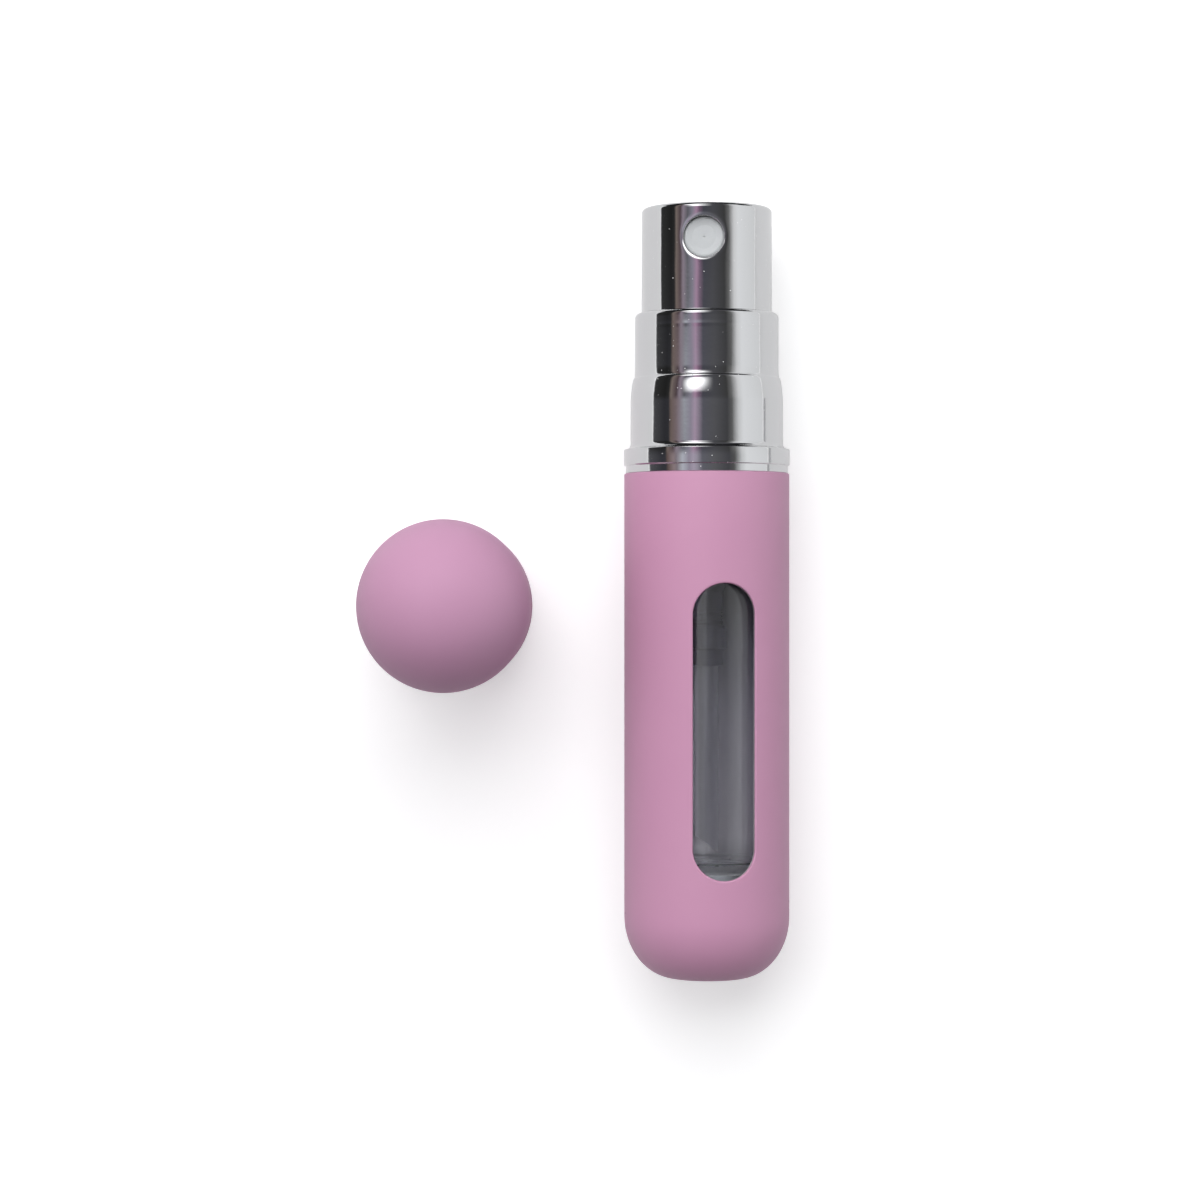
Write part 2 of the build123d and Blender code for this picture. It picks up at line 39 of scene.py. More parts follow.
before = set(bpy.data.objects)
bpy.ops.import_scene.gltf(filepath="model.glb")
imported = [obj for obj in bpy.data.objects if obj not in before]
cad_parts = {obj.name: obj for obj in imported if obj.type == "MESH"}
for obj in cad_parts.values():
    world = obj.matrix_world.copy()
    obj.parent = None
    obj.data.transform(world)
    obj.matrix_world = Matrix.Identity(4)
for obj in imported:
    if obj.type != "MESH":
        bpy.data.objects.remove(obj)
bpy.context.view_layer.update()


# --- Outer shell ------------------------------------------------------------------------------
# Drawn aluminium tube with a long rounded end, a slot that shows the vial, and a hole for the
# filling port. Outside it has a thin soft-touch coat, which wraps the slot's edge, and inside it is
# bare metal. The collar's skirt is pressed into its open end.
MM = 0.001
shell_low, shell_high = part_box("outer_shell")
axis_x = (shell_high.x + shell_low.x) / 2
axis_z = (shell_high.z + shell_low.z) / 2
base_y = shell_low.y


def extent(node):
    """A CAD piece's radius, and the stations of its lower and its upper end. A station is a
    distance along +Y from the bottle's base."""
    low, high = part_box(node)
    return (high.x - low.x) / 2, low.y - base_y, high.y - base_y


shell_radius, _, shell_length = extent("outer_shell")
SHELL_WALL = 0.6 * MM
SHELL_RIM_ROUND = 0.12 * MM
BASE_FLAT = 3.3 * MM
BASE_RISE = 6.4 * MM
BASE_HOLE = 2.75 * MM
SLOT_HALF_WIDTH = 3.2 * MM
SLOT_HALF_LENGTH = 15.0 * MM
SLOT_MIDDLE = 25.6 * MM
SLOT_TURN = math.radians(10.4)
SLOT_EDGE_ROUND = 0.2 * MM


def joined(*coordinates):
    """Points from their separate coordinates, each of which is an array or one number."""
    return np.stack(np.broadcast_arrays(*coordinates), axis=-1)


def lay(radius, station, angle):
    """Points of the lying bottle: at that radius from its axis, at that station, and turned by
    `angle` from straight up towards +X."""
    x = axis_x + radius * np.sin(angle)
    return joined(x, base_y + station, axis_z + radius * np.cos(angle))


def rounded(corners, steps=6):
    """An open or closed outline of (radius, station, rounding) corners, given as the points of
    straight runs joined by circular arcs. Each arc touches its two runs at the rounding's distance
    from its centre, and the centre lies on the line that halves the corner."""
    spots = np.array([corner[:2] for corner in corners], float)
    points = [spots[0]]
    for before, spot, after, corner in zip(spots, spots[1:], spots[2:], corners[1:]):
        rounding = corner[2]
        if rounding == 0:
            points.append(spot)
            continue
        back = (before - spot) / np.linalg.norm(before - spot)
        ahead = (after - spot) / np.linalg.norm(after - spot)
        half = math.acos(np.clip(back @ ahead, -1, 1)) / 2
        centre = spot + (back + ahead) / np.linalg.norm(back + ahead) * rounding / math.sin(half)
        first, last = (
            (spot + way * rounding / math.tan(half) - centre) / rounding for way in (back, ahead)
        )
        sweep = math.acos(np.clip(first @ last, -1, 1))
        share = np.linspace(0, 1, steps + 1)[:, None]
        arc = (np.sin((1 - share) * sweep) * first + np.sin(share * sweep) * last) / math.sin(sweep)
        points.extend(centre + rounding * arc)
    points.append(spots[-1])
    return np.array(points)


def grid_faces(rows, columns, wrap):
    """Four-sided faces between neighbouring rows of a grid whose columns close into a ring. With
    `wrap`, the last row joins the first."""
    row = np.arange(rows if wrap else rows - 1)[:, None]
    column = np.arange(columns)[None, :]
    following = (column + 1) % columns
    above = (row + 1) % rows
    corners = (row * columns + column, row * columns + following)
    return np.stack((*corners, above * columns + following, above * columns + column), axis=-1)


def ring_faces(lower, upper):
    """Four-sided faces between two closed rings of point numbers, one row of rings at a time."""
    return np.stack((lower, np.roll(lower, -1, -1), np.roll(upper, -1, -1), upper), axis=-1)


def slot_outline(grow, across, along):
    """A stadium's outline as (sideways, lengthways) points: half circles over the ends and straight
    sides, grown by `grow`. `across` steps go round each end and `along` up each side."""
    radius = SLOT_HALF_WIDTH + grow
    straight = SLOT_HALF_LENGTH - SLOT_HALF_WIDTH
    turn = np.pi * (1 + np.arange(across) / across)
    end = joined(radius * np.cos(turn), radius * np.sin(turn) - straight)
    side = joined(radius, np.linspace(-straight, straight, along, endpoint=False))
    return np.concatenate((end, side, -end, -side))


def pierced_tube(
    profile, outer_a, inner_a, along, columns, across, outline, middle, turn, edge_round
):
    """A turned wall with a hole through it. The wall is a grid: a closed profile of (radius,
    station) rows, carried round through the angles in `columns`. The hole lies in the first
    `across` columns and in the `along` rows from row `outer_a` outside and from `inner_a` inside.
    There the grid is left open, and rings fill it that change evenly from its edge to the hole's
    outline, pass over the hole's rounded edge and through the wall, and return inside. It gives the
    surface, and which of its faces lie on the inner wall."""
    rows, count = len(profile), len(columns)
    points = lay(profile[:, :1], profile[:, 1:], columns[None, :]).reshape(-1, 3)
    faces = grid_faces(rows, count, True)
    keep = np.ones(faces.shape[:2], bool)
    for start in (outer_a, inner_a):
        keep[start : start + along, :across] = False

    def border(low, high):
        """Point numbers round the open patch, from its lower left corner."""
        step = 1 if high > low else -1
        sides = np.arange(low, high, step) * count
        bottom = low * count + np.arange(across)
        top = high * count + np.arange(across, 0, -1)
        return np.concatenate((bottom, sides + across, top, sides[::-1] + step * count))

    outer_ring = border(outer_a, outer_a + along)
    inner_ring = border(inner_a + along, inner_a)
    outer_radius, inner_radius = profile[outer_a, 0], profile[inner_a, 0]

    def hole_ring(radius, grow):
        """The hole's outline on the round wall of that radius, as (angle, station)."""
        loop = outline(grow, across, along)
        return joined(turn + np.arcsin(loop[:, 0] / radius), middle + loop[:, 1])

    def spread(ring, radius, grow, shares):
        """Rings between the patch's edge and the outline, as points on the round wall."""
        edge = joined(columns[ring % count], profile[ring // count, 1])
        mixed = edge + shares[:, None, None] * (hole_ring(radius, grow) - edge)
        return lay(radius, mixed[..., 1], mixed[..., 0])

    shares = np.linspace(0, 1, 15)[1:] ** 0.8
    outside = spread(outer_ring, outer_radius, edge_round, shares)
    inside = spread(inner_ring, inner_radius, 0, shares[::-1])
    bend = np.linspace(0, np.pi / 2, 6)[1:]
    half_way = (outer_radius + inner_radius) / 2
    radii = np.append(outer_radius - edge_round * (1 - np.cos(bend)), half_way)
    grows = np.append(edge_round * (1 - np.sin(bend)), 0)
    through = []
    for radius, grow in zip(radii, grows):
        angle, station = hole_ring(radius, grow).T
        through.append(lay(radius, station, angle))
    rings = np.concatenate((outside, through, inside))
    numbers = len(points) + np.arange(rings.shape[0] * rings.shape[1]).reshape(rings.shape[:2])
    chain = np.concatenate((outer_ring[None], numbers, inner_ring[None]))
    patch_faces = ring_faces(chain[:-1], chain[1:])
    points = np.concatenate((points, rings.reshape(-1, 3)))
    within = np.broadcast_to(np.arange(rows)[:, None] >= inner_a - 1, keep.shape)[keep]
    patch_within = np.arange(len(patch_faces)) > len(outside) + len(through) - 1
    within = np.concatenate((within, np.repeat(patch_within, patch_faces.shape[1])))
    faces = np.concatenate((faces[keep].reshape(-1, 4), patch_faces.reshape(-1, 4)))
    used, renumbered = np.unique(faces, return_inverse=True)
    return (points[used], renumbered.reshape(-1, 4).tolist()), within


def ring_columns(turn, half_width, radius, across, back):
    """Angles round a tube for pierced_tube: `across` steps over a patch of that half width, and
    `back` steps round the rest."""
    half = math.asin(half_width / radius)
    near = turn + np.linspace(-half, half, across + 1)
    far = turn + np.linspace(half, 2 * np.pi - half, back + 1)[1:-1]
    return np.concatenate((near, far))


CREASE = math.radians(35)


def add_object(name, data):
    """A new object in the scene."""
    made = bpy.data.objects.new(name, data)
    bpy.context.scene.collection.objects.link(made)
    return made


def add_mesh(name, points, faces, *materials):
    """A new mesh object in the scene."""
    mesh = bpy.data.meshes.new(name)
    mesh.from_pydata(points, [], faces)
    for material in materials:
        mesh.materials.append(material)
    return add_object(name, mesh)


def add_piece(name, surface, body, slot, stands_for, *materials):
    """Puts a surface in the scene, smooth but for edges sharper than CREASE, on its body, in the
    place of the CAD node that it stands for."""
    piece = add_mesh(name, surface[0].tolist(), surface[1], *materials)
    piece.data.polygons.foreach_set("use_smooth", np.ones(len(piece.data.polygons), bool))
    piece.data.set_sharp_from_angle(angle=CREASE)
    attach(piece, body)
    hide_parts(stands_for)
    return piece


def feed(tree, socket, value):
    """Gives a node's socket a link from another socket, or a value."""
    if isinstance(value, bpy.types.NodeSocket):
        tree.links.new(value, socket)
    else:
        socket.default_value = value


def set_sockets(tree, node, **values):
    """Feeds a node's sockets by name, where "_" stands for a space."""
    for name, value in values.items():
        feed(tree, node.inputs[name.replace("_", " ")], value)
    return node


def add_node(tree, kind, **values):
    """A new shader node, with those links or values in its sockets."""
    return set_sockets(tree, tree.nodes.new("ShaderNode" + kind), **values)


def new_material(name):
    """A node material, its node tree and its Principled shader."""
    material = bpy.data.materials.new(name)
    material.use_nodes = True
    return material, material.node_tree, material.node_tree.nodes["Principled BSDF"]


def effect_group(name, inputs, output):
    """An empty shader node group with number sockets, and its own input and output sockets. The
    inputs are (name, default) pairs."""
    group = bpy.data.node_groups.new(name, "ShaderNodeTree")
    for socket, default in inputs:
        made = group.interface.new_socket(socket, in_out="INPUT", socket_type="NodeSocketFloat")
        made.default_value = default
    group.interface.new_socket(output, in_out="OUTPUT", socket_type="NodeSocketFloat")
    inner_inputs = group.nodes.new("NodeGroupInput").outputs
    return group, inner_inputs, group.nodes.new("NodeGroupOutput").inputs


def math_node(tree, operation, first, second):
    """A Math node's result. Each operand is a socket or a number."""
    node = tree.nodes.new("ShaderNodeMath")
    node.operation = operation
    feed(tree, node.inputs[0], first)
    feed(tree, node.inputs[1], second)
    return node.outputs[0]


def object_place(tree):
    """Object coordinates, in metres."""
    return tree.nodes.new("ShaderNodeTexCoord").outputs["Object"]


def object_axes(tree):
    """Object coordinates as separate "X", "Y" and "Z" sockets."""
    return add_node(tree, "SeparateXYZ", Vector=object_place(tree)).outputs


def stretched(tree, share):
    """Object coordinates with +Y scaled by `share`, which draws a pattern out along the bottle."""
    return add_node(tree, "Mapping", Scale=(1, share, 1), Vector=object_place(tree)).outputs[0]


def noise(tree, scale, detail, place):
    """A Noise texture's value at those coordinates."""
    return add_node(tree, "TexNoise", Scale=scale, Detail=detail, Vector=place).outputs[0]


def seen_by(tree, *kinds):
    """1 for rays of those kinds, and 0 for all others."""
    rays = tree.nodes.new("ShaderNodeLightPath").outputs
    seen, *others = (rays[f"Is {kind} Ray"] for kind in kinds)
    for other in others:
        seen = math_node(tree, "MAXIMUM", seen, other)
    return seen


def add_group(tree, group, **values):
    """What a group gives in a material, with its own values."""
    node = tree.nodes.new("ShaderNodeGroup")
    node.node_tree = group
    return set_sockets(tree, node, **values).outputs[0]


def mix_colour(tree, share, first, second):
    """A mix of two colours. Each is a socket or three numbers, and `share` goes from 0 to 1."""
    node = tree.nodes.new("ShaderNodeMix")
    node.data_type = "RGBA"
    first, second = ((*value, 1) if isinstance(value, tuple) else value for value in (first, second))
    return set_sockets(tree, node, Factor=share, A=first, B=second).outputs["Result"]


def map_range(tree, value, start, end, low=0.0, high=1.0, curve="LINEAR"):
    """A value that goes from low to high while another goes from start to end."""
    node = add_node(
        tree, "MapRange", Value=value, From_Min=start, From_Max=end, To_Min=low, To_Max=high
    )
    node.interpolation_type = curve
    return node.outputs["Result"]


def colour_ramp(tree, share, stops):
    """A ramp through (position, colour) stops, of which the first is at 0 and the last at 1."""
    node = add_node(tree, "ValToRGB", Fac=share)
    elements = node.color_ramp.elements
    elements[0].color = (*stops[0][1], 1)
    elements[1].color = (*stops[-1][1], 1)
    for position, colour in stops[1:-1]:
        elements.new(position).color = (*colour, 1)
    return node.outputs["Color"]


def relief(tree, height, distance):
    """A normal that stands out with `height`, times `distance` in metres."""
    return add_node(tree, "Bump", Height=height, Distance=distance).outputs["Normal"]


def finish_surface(tree, shader, colour, pattern, gloss, depth, **values):
    """Gives a shader its colour and values, and a roughness and a relief that follow a pattern from
    0 to 1: roughness through the `gloss` range, and relief of `depth` metres."""
    roughness = map_range(tree, pattern, 0.0, 1.0, *gloss)
    normal = relief(tree, pattern, depth)
    set_sockets(tree, shader, Base_Color=colour, Roughness=roughness, Normal=normal, **values)


# Fine grain: two noises, added. It comes out as a value round 0.5.
grain, grain_in, grain_out = effect_group(
    "fine grain", [("Scale", 6000.0), ("Coarse Scale", 900.0)], "Grain"
)
grain_place = object_place(grain)
grain_fine = noise(grain, grain_in["Scale"], 2.0, grain_place)
grain_coarse = noise(grain, grain_in["Coarse Scale"], 3.0, grain_place)
grain_sum = math_node(grain, "MULTIPLY", math_node(grain, "ADD", grain_fine, grain_coarse), 0.5)
grain.links.new(grain_sum, grain_out["Grain"])

# Dust: specks at the middles of scattered cells. Few cells have one, and it is a small part of its
# cell, so that a speck is a fraction of a millimetre.
dust, dust_in, dust_out = effect_group(
    "dust specks", [("Scale", 900.0), ("Size", 0.1), ("Share", 0.04)], "Specks"
)
cells = add_node(dust, "TexVoronoi", Vector=object_place(dust), Scale=dust_in["Scale"]).outputs
cell_random = add_node(dust, "SeparateColor", Color=cells["Color"]).outputs[0]
speck_small = math_node(dust, "LESS_THAN", cells["Distance"], dust_in["Size"])
speck_rare = math_node(dust, "LESS_THAN", cell_random, dust_in["Share"])
dust.links.new(math_node(dust, "MULTIPLY", speck_small, speck_rare), dust_out["Specks"])

# Soft-touch coat: pink, satin, with a grain too fine to feel, slightly uneven in colour, and a few
# grains of dust that show darker.
COAT_DUST = (0.360, 0.170, 0.270)


def soft_touch(name, pink, deep, sheen):
    """The coat's material in a pink, with clouds of a deeper pink and a weak sheen."""
    material, tree, shader = new_material(name)
    fine = add_group(tree, grain, Scale=7000.0, Coarse_Scale=1500.0)
    specks = add_group(tree, dust, Scale=420.0, Size=0.05, Share=0.1)
    clouds = mix_colour(tree, noise(tree, 120.0, 2.0, object_place(tree)), pink, deep)
    colour = mix_colour(tree, specks, clouds, COAT_DUST)
    finish_surface(tree, shader, colour, fine, (0.5, 0.64), 0.000006)
    set_sockets(tree, shader, Specular_IOR_Level=0.3, Sheen_Weight=sheen, Sheen_Roughness=0.45)
    return material


coat = soft_touch("soft_touch_coat", (0.612, 0.316, 0.470), (0.587, 0.291, 0.450), 0.13)

# Bare drawn aluminium: grey, with fine draw lines along the tube. Along the tube its colour carries
# painted light and shade: it is lightest at 14 mm, where light through the slot falls on the inner
# wall, and painted darker towards both ends, in the shade of the slot's edges: (station, colour).
BARE_SHADE_STOPS = (
    (9.0 * MM, (0.300, 0.285, 0.300)),
    (11.0 * MM, (0.480, 0.450, 0.480)),
    (14.0 * MM, (0.860, 0.785, 0.820)),
    (25.0 * MM, (0.740, 0.675, 0.730)),
    (34.0 * MM, (0.540, 0.505, 0.565)),
    (41.0 * MM, (0.290, 0.275, 0.305)),
)
bare, bare_tree, bare_shader = new_material("drawn_aluminium")
bare_from, bare_to = BARE_SHADE_STOPS[0][0], BARE_SHADE_STOPS[-1][0]
bare_lines = noise(bare_tree, 9000.0, 3.0, stretched(bare_tree, 0.02))
# This ramp paints light and shade along the inner wall, by station.
bare_shaded_grey = colour_ramp(
    bare_tree,
    map_range(bare_tree, object_axes(bare_tree)["Y"], base_y + bare_from, base_y + bare_to),
    [((station - bare_from) / (bare_to - bare_from), colour) for station, colour in BARE_SHADE_STOPS],
)
bare_faint = math_node(bare_tree, "MULTIPLY", bare_lines, 0.2)
bare_colour = mix_colour(bare_tree, bare_faint, bare_shaded_grey, (0.45, 0.43, 0.46))
finish_surface(
    bare_tree, bare_shader, bare_colour, bare_lines, (0.4, 0.55), 0.00001, Metallic=0.3
)

SLOT_PATCH_HALF_WIDTH = 6.2 * MM
SLOT_PATCH_MARGIN = 2.6 * MM
SLOT_ACROSS = 48
SLOT_ALONG = 72
shell_inner = shell_radius - SHELL_WALL
patch_low = SLOT_MIDDLE - SLOT_HALF_LENGTH - SLOT_PATCH_MARGIN
patch_high = SLOT_MIDDLE + SLOT_HALF_LENGTH + SLOT_PATCH_MARGIN
patch_rise = np.linspace(patch_low, patch_high, SLOT_ALONG + 1)
quarter = np.linspace(0, np.pi / 2, 29)
corner_outside = joined(
    BASE_FLAT + (shell_radius - BASE_FLAT) * np.sin(quarter), BASE_RISE * (1 - np.cos(quarter))
)
corner_inside = joined(
    BASE_FLAT + (shell_inner - BASE_FLAT) * np.sin(quarter),
    BASE_RISE - (BASE_RISE - SHELL_WALL) * np.cos(quarter),
)
rim_turn = np.linspace(0, np.pi / 2, 5)
rim_outside = joined(
    shell_radius - SHELL_RIM_ROUND * (1 - np.cos(rim_turn)),
    shell_length - SHELL_RIM_ROUND * (1 - np.sin(rim_turn)),
)
shell_profile = np.concatenate(
    (
        [(BASE_HOLE, 0)],
        corner_outside,
        joined(shell_radius, patch_rise),
        rim_outside,
        [(shell_inner, shell_length)],
        joined(shell_inner, patch_rise[::-1]),
        corner_inside[::-1],
        [(BASE_HOLE, SHELL_WALL)],
    )
)
outer_start = 1 + len(corner_outside)
shell_surface, shell_within = pierced_tube(
    shell_profile,
    outer_start,
    outer_start + SLOT_ALONG + 1 + len(rim_outside) + 1,
    SLOT_ALONG,
    ring_columns(SLOT_TURN, SLOT_PATCH_HALF_WIDTH, shell_radius, SLOT_ACROSS, 150),
    SLOT_ACROSS,
    slot_outline,
    SLOT_MIDDLE,
    SLOT_TURN,
    SLOT_EDGE_ROUND,
)
shell_skin = add_piece(
    "shell_skin", shell_surface, "bottle", "soft_touch_pink", "outer_shell", coat, bare
)
# The inner wall is bare metal.
shell_skin.data.polygons.foreach_set("material_index", shell_within.astype(np.int32))


# --- Vial -------------------------------------------------------------------------------------
# Clear injection-moulded plastic, with a stepped neck and a floor that takes the filling valve.
# It slides into the shell before the collar is pressed in. Faint flow marks and specks show in it,
# and its floor is frosted.
vial_radius, vial_bottom, vial_top = extent("reservoir")
VIAL_WALL = 1.0 * MM
VIAL_FLOOR_BOTTOM = 11.0 * MM
VIAL_FLOOR_TOP = 12.1 * MM
VIAL_NECK_LENGTH = 8.0 * MM
VIAL_NECK_OUTER = 7.1 * MM
VIAL_NECK_INNER = 6.1 * MM
VIAL_BOSS_INNER = 3.05 * MM
VIAL_BOSS_OUTER = 3.85 * MM
VIAL_GUIDE = 0.85 * MM
VIAL_FROST_EDGE = 0.15 * MM


def turned(profile, columns=192):
    """A surface turned about the bottle's axis from a closed outline of (radius, station) points."""
    angles = np.linspace(0, 2 * np.pi, columns, endpoint=False)
    points = lay(profile[:, :1], profile[:, 1:], angles[None, :]).reshape(-1, 3)
    return points, grid_faces(len(profile), columns, True).reshape(-1, 4).tolist()


# Clear plastic. For the light that reaches what is inside, it is plainly see-through.
vial_clear, vial_tree, vial_shader = new_material("clear_plastic")
vial_waves = noise(vial_tree, 700.0, 2.0, stretched(vial_tree, 0.15))
vial_specks = add_group(vial_tree, dust, Scale=330.0, Size=0.035, Share=0.12)
frost_from = base_y + VIAL_FLOOR_TOP
vial_frost = map_range(
    vial_tree, object_axes(vial_tree)["Y"], frost_from, frost_from - VIAL_FROST_EDGE, 0.0, 0.6
)
vial_gloss = map_range(vial_tree, vial_waves, 0.0, 1.0, 0.02, 0.07)
set_sockets(
    vial_tree,
    vial_shader,
    Base_Color=mix_colour(vial_tree, vial_specks, (0.90, 0.91, 0.93), (0.6, 0.6, 0.6)),
    Roughness=math_node(vial_tree, "ADD", vial_gloss, vial_frost),
    Normal=relief(vial_tree, vial_waves, 0.00003),
    IOR=1.49,
    Transmission_Weight=1.0,
)
vial_through = add_node(vial_tree, "BsdfTransparent", Color=(0.86, 0.87, 0.89, 1)).outputs[0]
vial_mix = vial_tree.nodes.new("ShaderNodeMixShader")
vial_mixed = (seen_by(vial_tree, "Shadow", "Diffuse"), vial_shader.outputs[0], vial_through)
for socket, source in zip(vial_mix.inputs, vial_mixed):
    feed(vial_tree, socket, source)
set_sockets(vial_tree, vial_tree.nodes["Material Output"], Surface=vial_mix.outputs[0])

vial_shoulder = vial_top - VIAL_NECK_LENGTH
vial_inner = vial_radius - VIAL_WALL
vial_profile = rounded(
    [
        (VIAL_GUIDE, VIAL_FLOOR_TOP, 0),
        (VIAL_GUIDE, VIAL_FLOOR_BOTTOM, 0),
        (VIAL_BOSS_INNER, VIAL_FLOOR_BOTTOM, 0),
        (VIAL_BOSS_INNER, vial_bottom, 0),
        (VIAL_BOSS_OUTER, vial_bottom, 0.1 * MM),
        (VIAL_BOSS_OUTER, VIAL_FLOOR_BOTTOM, 0.2 * MM),
        (vial_radius, VIAL_FLOOR_BOTTOM, 1.2 * MM),
        (vial_radius, vial_shoulder, 0.1 * MM),
        (VIAL_NECK_OUTER, vial_shoulder, 0),
        (VIAL_NECK_OUTER, vial_top, 0.1 * MM),
        (VIAL_NECK_INNER, vial_top, 0.1 * MM),
        (VIAL_NECK_INNER, vial_shoulder, 0),
        (vial_inner, vial_shoulder - VIAL_WALL, 0.3 * MM),
        (vial_inner, VIAL_FLOOR_TOP, 0.35 * MM),
        (VIAL_GUIDE + 0.05 * MM, VIAL_FLOOR_TOP, 0),
    ]
)
add_piece("vial", turned(vial_profile), "bottle", "clear_vial", "reservoir", vial_clear)


# --- Pump housing and dip tube ----------------------------------------------------------------
# Natural polypropylene, milky and see-through: the barrel hangs in the vial's neck and narrows to a
# ribbed throat, a foot and a nose, into which the thin dip tube is pushed.
_, nose_bottom, housing_top = extent("pump_housing")
BARREL_RADIUS = 3.2 * MM
BARREL_BOTTOM = 42.5 * MM
THROAT_RADIUS = 1.65 * MM
THROAT_TOP = 39.6 * MM
FOOT_RADIUS = 2.05 * MM
FOOT_TOP = 36.0 * MM
FOOT_BOTTOM = 33.8 * MM
RIB_COUNT = 4
RIB_PITCH = 0.4 * MM
RIB_DEPTH = 0.15 * MM
dip_radius, dip_bottom, dip_top = extent("dip_tube")
DIP_BORE = 0.8 * MM
DIP_SLANT = math.radians(35)
SOCKET_TOP = 36.9 * MM
SOCKET_PLAY = 0.02 * MM
INLET_RADIUS = 0.6 * MM
FLANGE_RADIUS = 4.3 * MM
FLANGE_HEIGHT = 0.8 * MM
BARREL_BORE = 2.4 * MM
BARREL_FLOOR = 44.0 * MM
CAGE_RADIUS = 1.35 * MM
SEAT_TOP = 41.0 * MM
SEAT_BOTTOM = 40.2 * MM


def cloudy(name, colours, gloss, **values):
    """A see-through plastic with faint clouds in its colour, gloss and surface."""
    material, tree, shader = new_material(name)
    cloud = noise(tree, 900.0, 3.0, object_place(tree))
    colour = mix_colour(tree, cloud, *colours)
    finish_surface(tree, shader, colour, cloud, gloss, 0.00002, **values)
    return material


milky = cloudy(
    "milky_plastic",
    ((0.47, 0.455, 0.56), (0.55, 0.535, 0.63)),
    (0.3, 0.45),
    IOR=1.22,
    Transmission_Weight=0.94,
)
# The dip tube is of a clearer grade.
tube_clear = cloudy(
    "clear_tube_plastic",
    ((0.86, 0.85, 0.90), (0.92, 0.91, 0.95)),
    (0.25, 0.35),
    IOR=1.18,
    Transmission_Weight=0.97,
)

rib_corners = []
for i in range(RIB_COUNT):
    groove = FOOT_TOP + (i + 0.5) * RIB_PITCH
    rib_corners += [
        (THROAT_RADIUS, groove, 0),
        (THROAT_RADIUS - RIB_DEPTH, groove + RIB_PITCH * 0.1, 0),
        (THROAT_RADIUS - RIB_DEPTH, groove + RIB_PITCH * 0.4, 0),
        (THROAT_RADIUS, groove + RIB_PITCH * 0.5, 0),
    ]
socket_radius = dip_radius + SOCKET_PLAY
flange_bottom = housing_top - FLANGE_HEIGHT
housing_profile = rounded(
    [
        (INLET_RADIUS, SOCKET_TOP, 0),
        (socket_radius, SOCKET_TOP, 0),
        (socket_radius, nose_bottom, 0.05 * MM),
        (THROAT_RADIUS, nose_bottom, 0.15 * MM),
        (THROAT_RADIUS, FOOT_BOTTOM, 0.1 * MM),
        (FOOT_RADIUS, FOOT_BOTTOM, 0.15 * MM),
        (FOOT_RADIUS, FOOT_TOP, 0.1 * MM),
        (THROAT_RADIUS, FOOT_TOP, 0),
        *rib_corners,
        (THROAT_RADIUS, THROAT_TOP, 0.3 * MM),
        (BARREL_RADIUS, BARREL_BOTTOM, 0.3 * MM),
        (BARREL_RADIUS, flange_bottom, 0),
        (FLANGE_RADIUS, flange_bottom, 0.05 * MM),
        (FLANGE_RADIUS, housing_top, 0.05 * MM),
        (BARREL_BORE, housing_top, 0),
        (BARREL_BORE, BARREL_FLOOR, 0),
        (CAGE_RADIUS, BARREL_FLOOR, 0),
        (CAGE_RADIUS, SEAT_TOP, 0),
        (INLET_RADIUS, SEAT_BOTTOM, 0),
    ]
)
housing_surface = turned(housing_profile, 128)
add_piece("pump_body", housing_surface, "bottle", "frosted_plastic", "pump_housing", milky)

# The dip tube's lower end is cut on a slant: the end's points are lowered and raised by how far
# they lie to one side.
dip_profile = joined(
    [DIP_BORE, DIP_BORE, dip_radius, dip_radius], [dip_top, dip_bottom, dip_bottom, dip_top]
)
dip_points, dip_faces = turned(dip_profile, 96)
at_end = dip_points[:, 1] - base_y < dip_bottom + 0.01 * MM
dip_points[at_end, 1] += (dip_radius - (dip_points[at_end, 0] - axis_x)) * math.tan(DIP_SLANT)
dip_surface = (dip_points, dip_faces)
add_piece("dip_pipe", dip_surface, "bottle", "frosted_plastic", "dip_tube", tube_clear)


# --- Collar -----------------------------------------------------------------------------------
# One moulding, bright plated: band, ring and two tiers that step in towards the button. The
# plating follows small sinks and waves of the moulding, and rounds every corner.
ring_radius, collar_bottom, collar_top = extent("collar")
SKIRT_OUTER = 7.85 * MM
SKIRT_INNER = 7.15 * MM
BAND_RADIUS = 8.35 * MM
RING_BASE = 52.7 * MM
RING_TOP = 54.4 * MM
COVE_REACH = 0.55 * MM
SHOULDER_TOP = 55.0 * MM
LOWER_RADIUS = 7.85 * MM
LOWER_TOP = 61.8 * MM
UPPER_RADIUS = 7.4 * MM
BUTTON_BORE = 6.85 * MM
COLLAR_WALL = 0.55 * MM
SINK_ROWS = (65.6, 67.6)
UPPER_WALL_TOP = 67.7 * MM

# Bright plating: it mirrors the room a little unevenly, with fine pits and specks.
chrome, chrome_tree, chrome_shader = new_material("bright_plating")
chrome_place = object_place(chrome_tree)
chrome_specks = add_group(chrome_tree, dust, Scale=2600.0, Size=0.12, Share=0.12)
chrome_haze = noise(chrome_tree, 450.0, 2.0, chrome_place)
chrome_waves = noise(chrome_tree, 420.0, 1.0, stretched(chrome_tree, 0.35))
chrome_grit = math_node(chrome_tree, "MULTIPLY", noise(chrome_tree, 2600.0, 2.0, chrome_place), 0.06)
chrome_height = math_node(chrome_tree, "ADD", chrome_waves, chrome_grit)
set_sockets(
    chrome_tree,
    chrome_shader,
    Base_Color=mix_colour(chrome_tree, chrome_specks, (0.655, 0.66, 0.665), (0.86, 0.86, 0.86)),
    Metallic=math_node(chrome_tree, "SUBTRACT", 1.0, chrome_specks),
    Roughness=map_range(chrome_tree, chrome_haze, 0.0, 1.0, 0.035, 0.075),
    Normal=relief(chrome_tree, chrome_height, 0.000025),
)

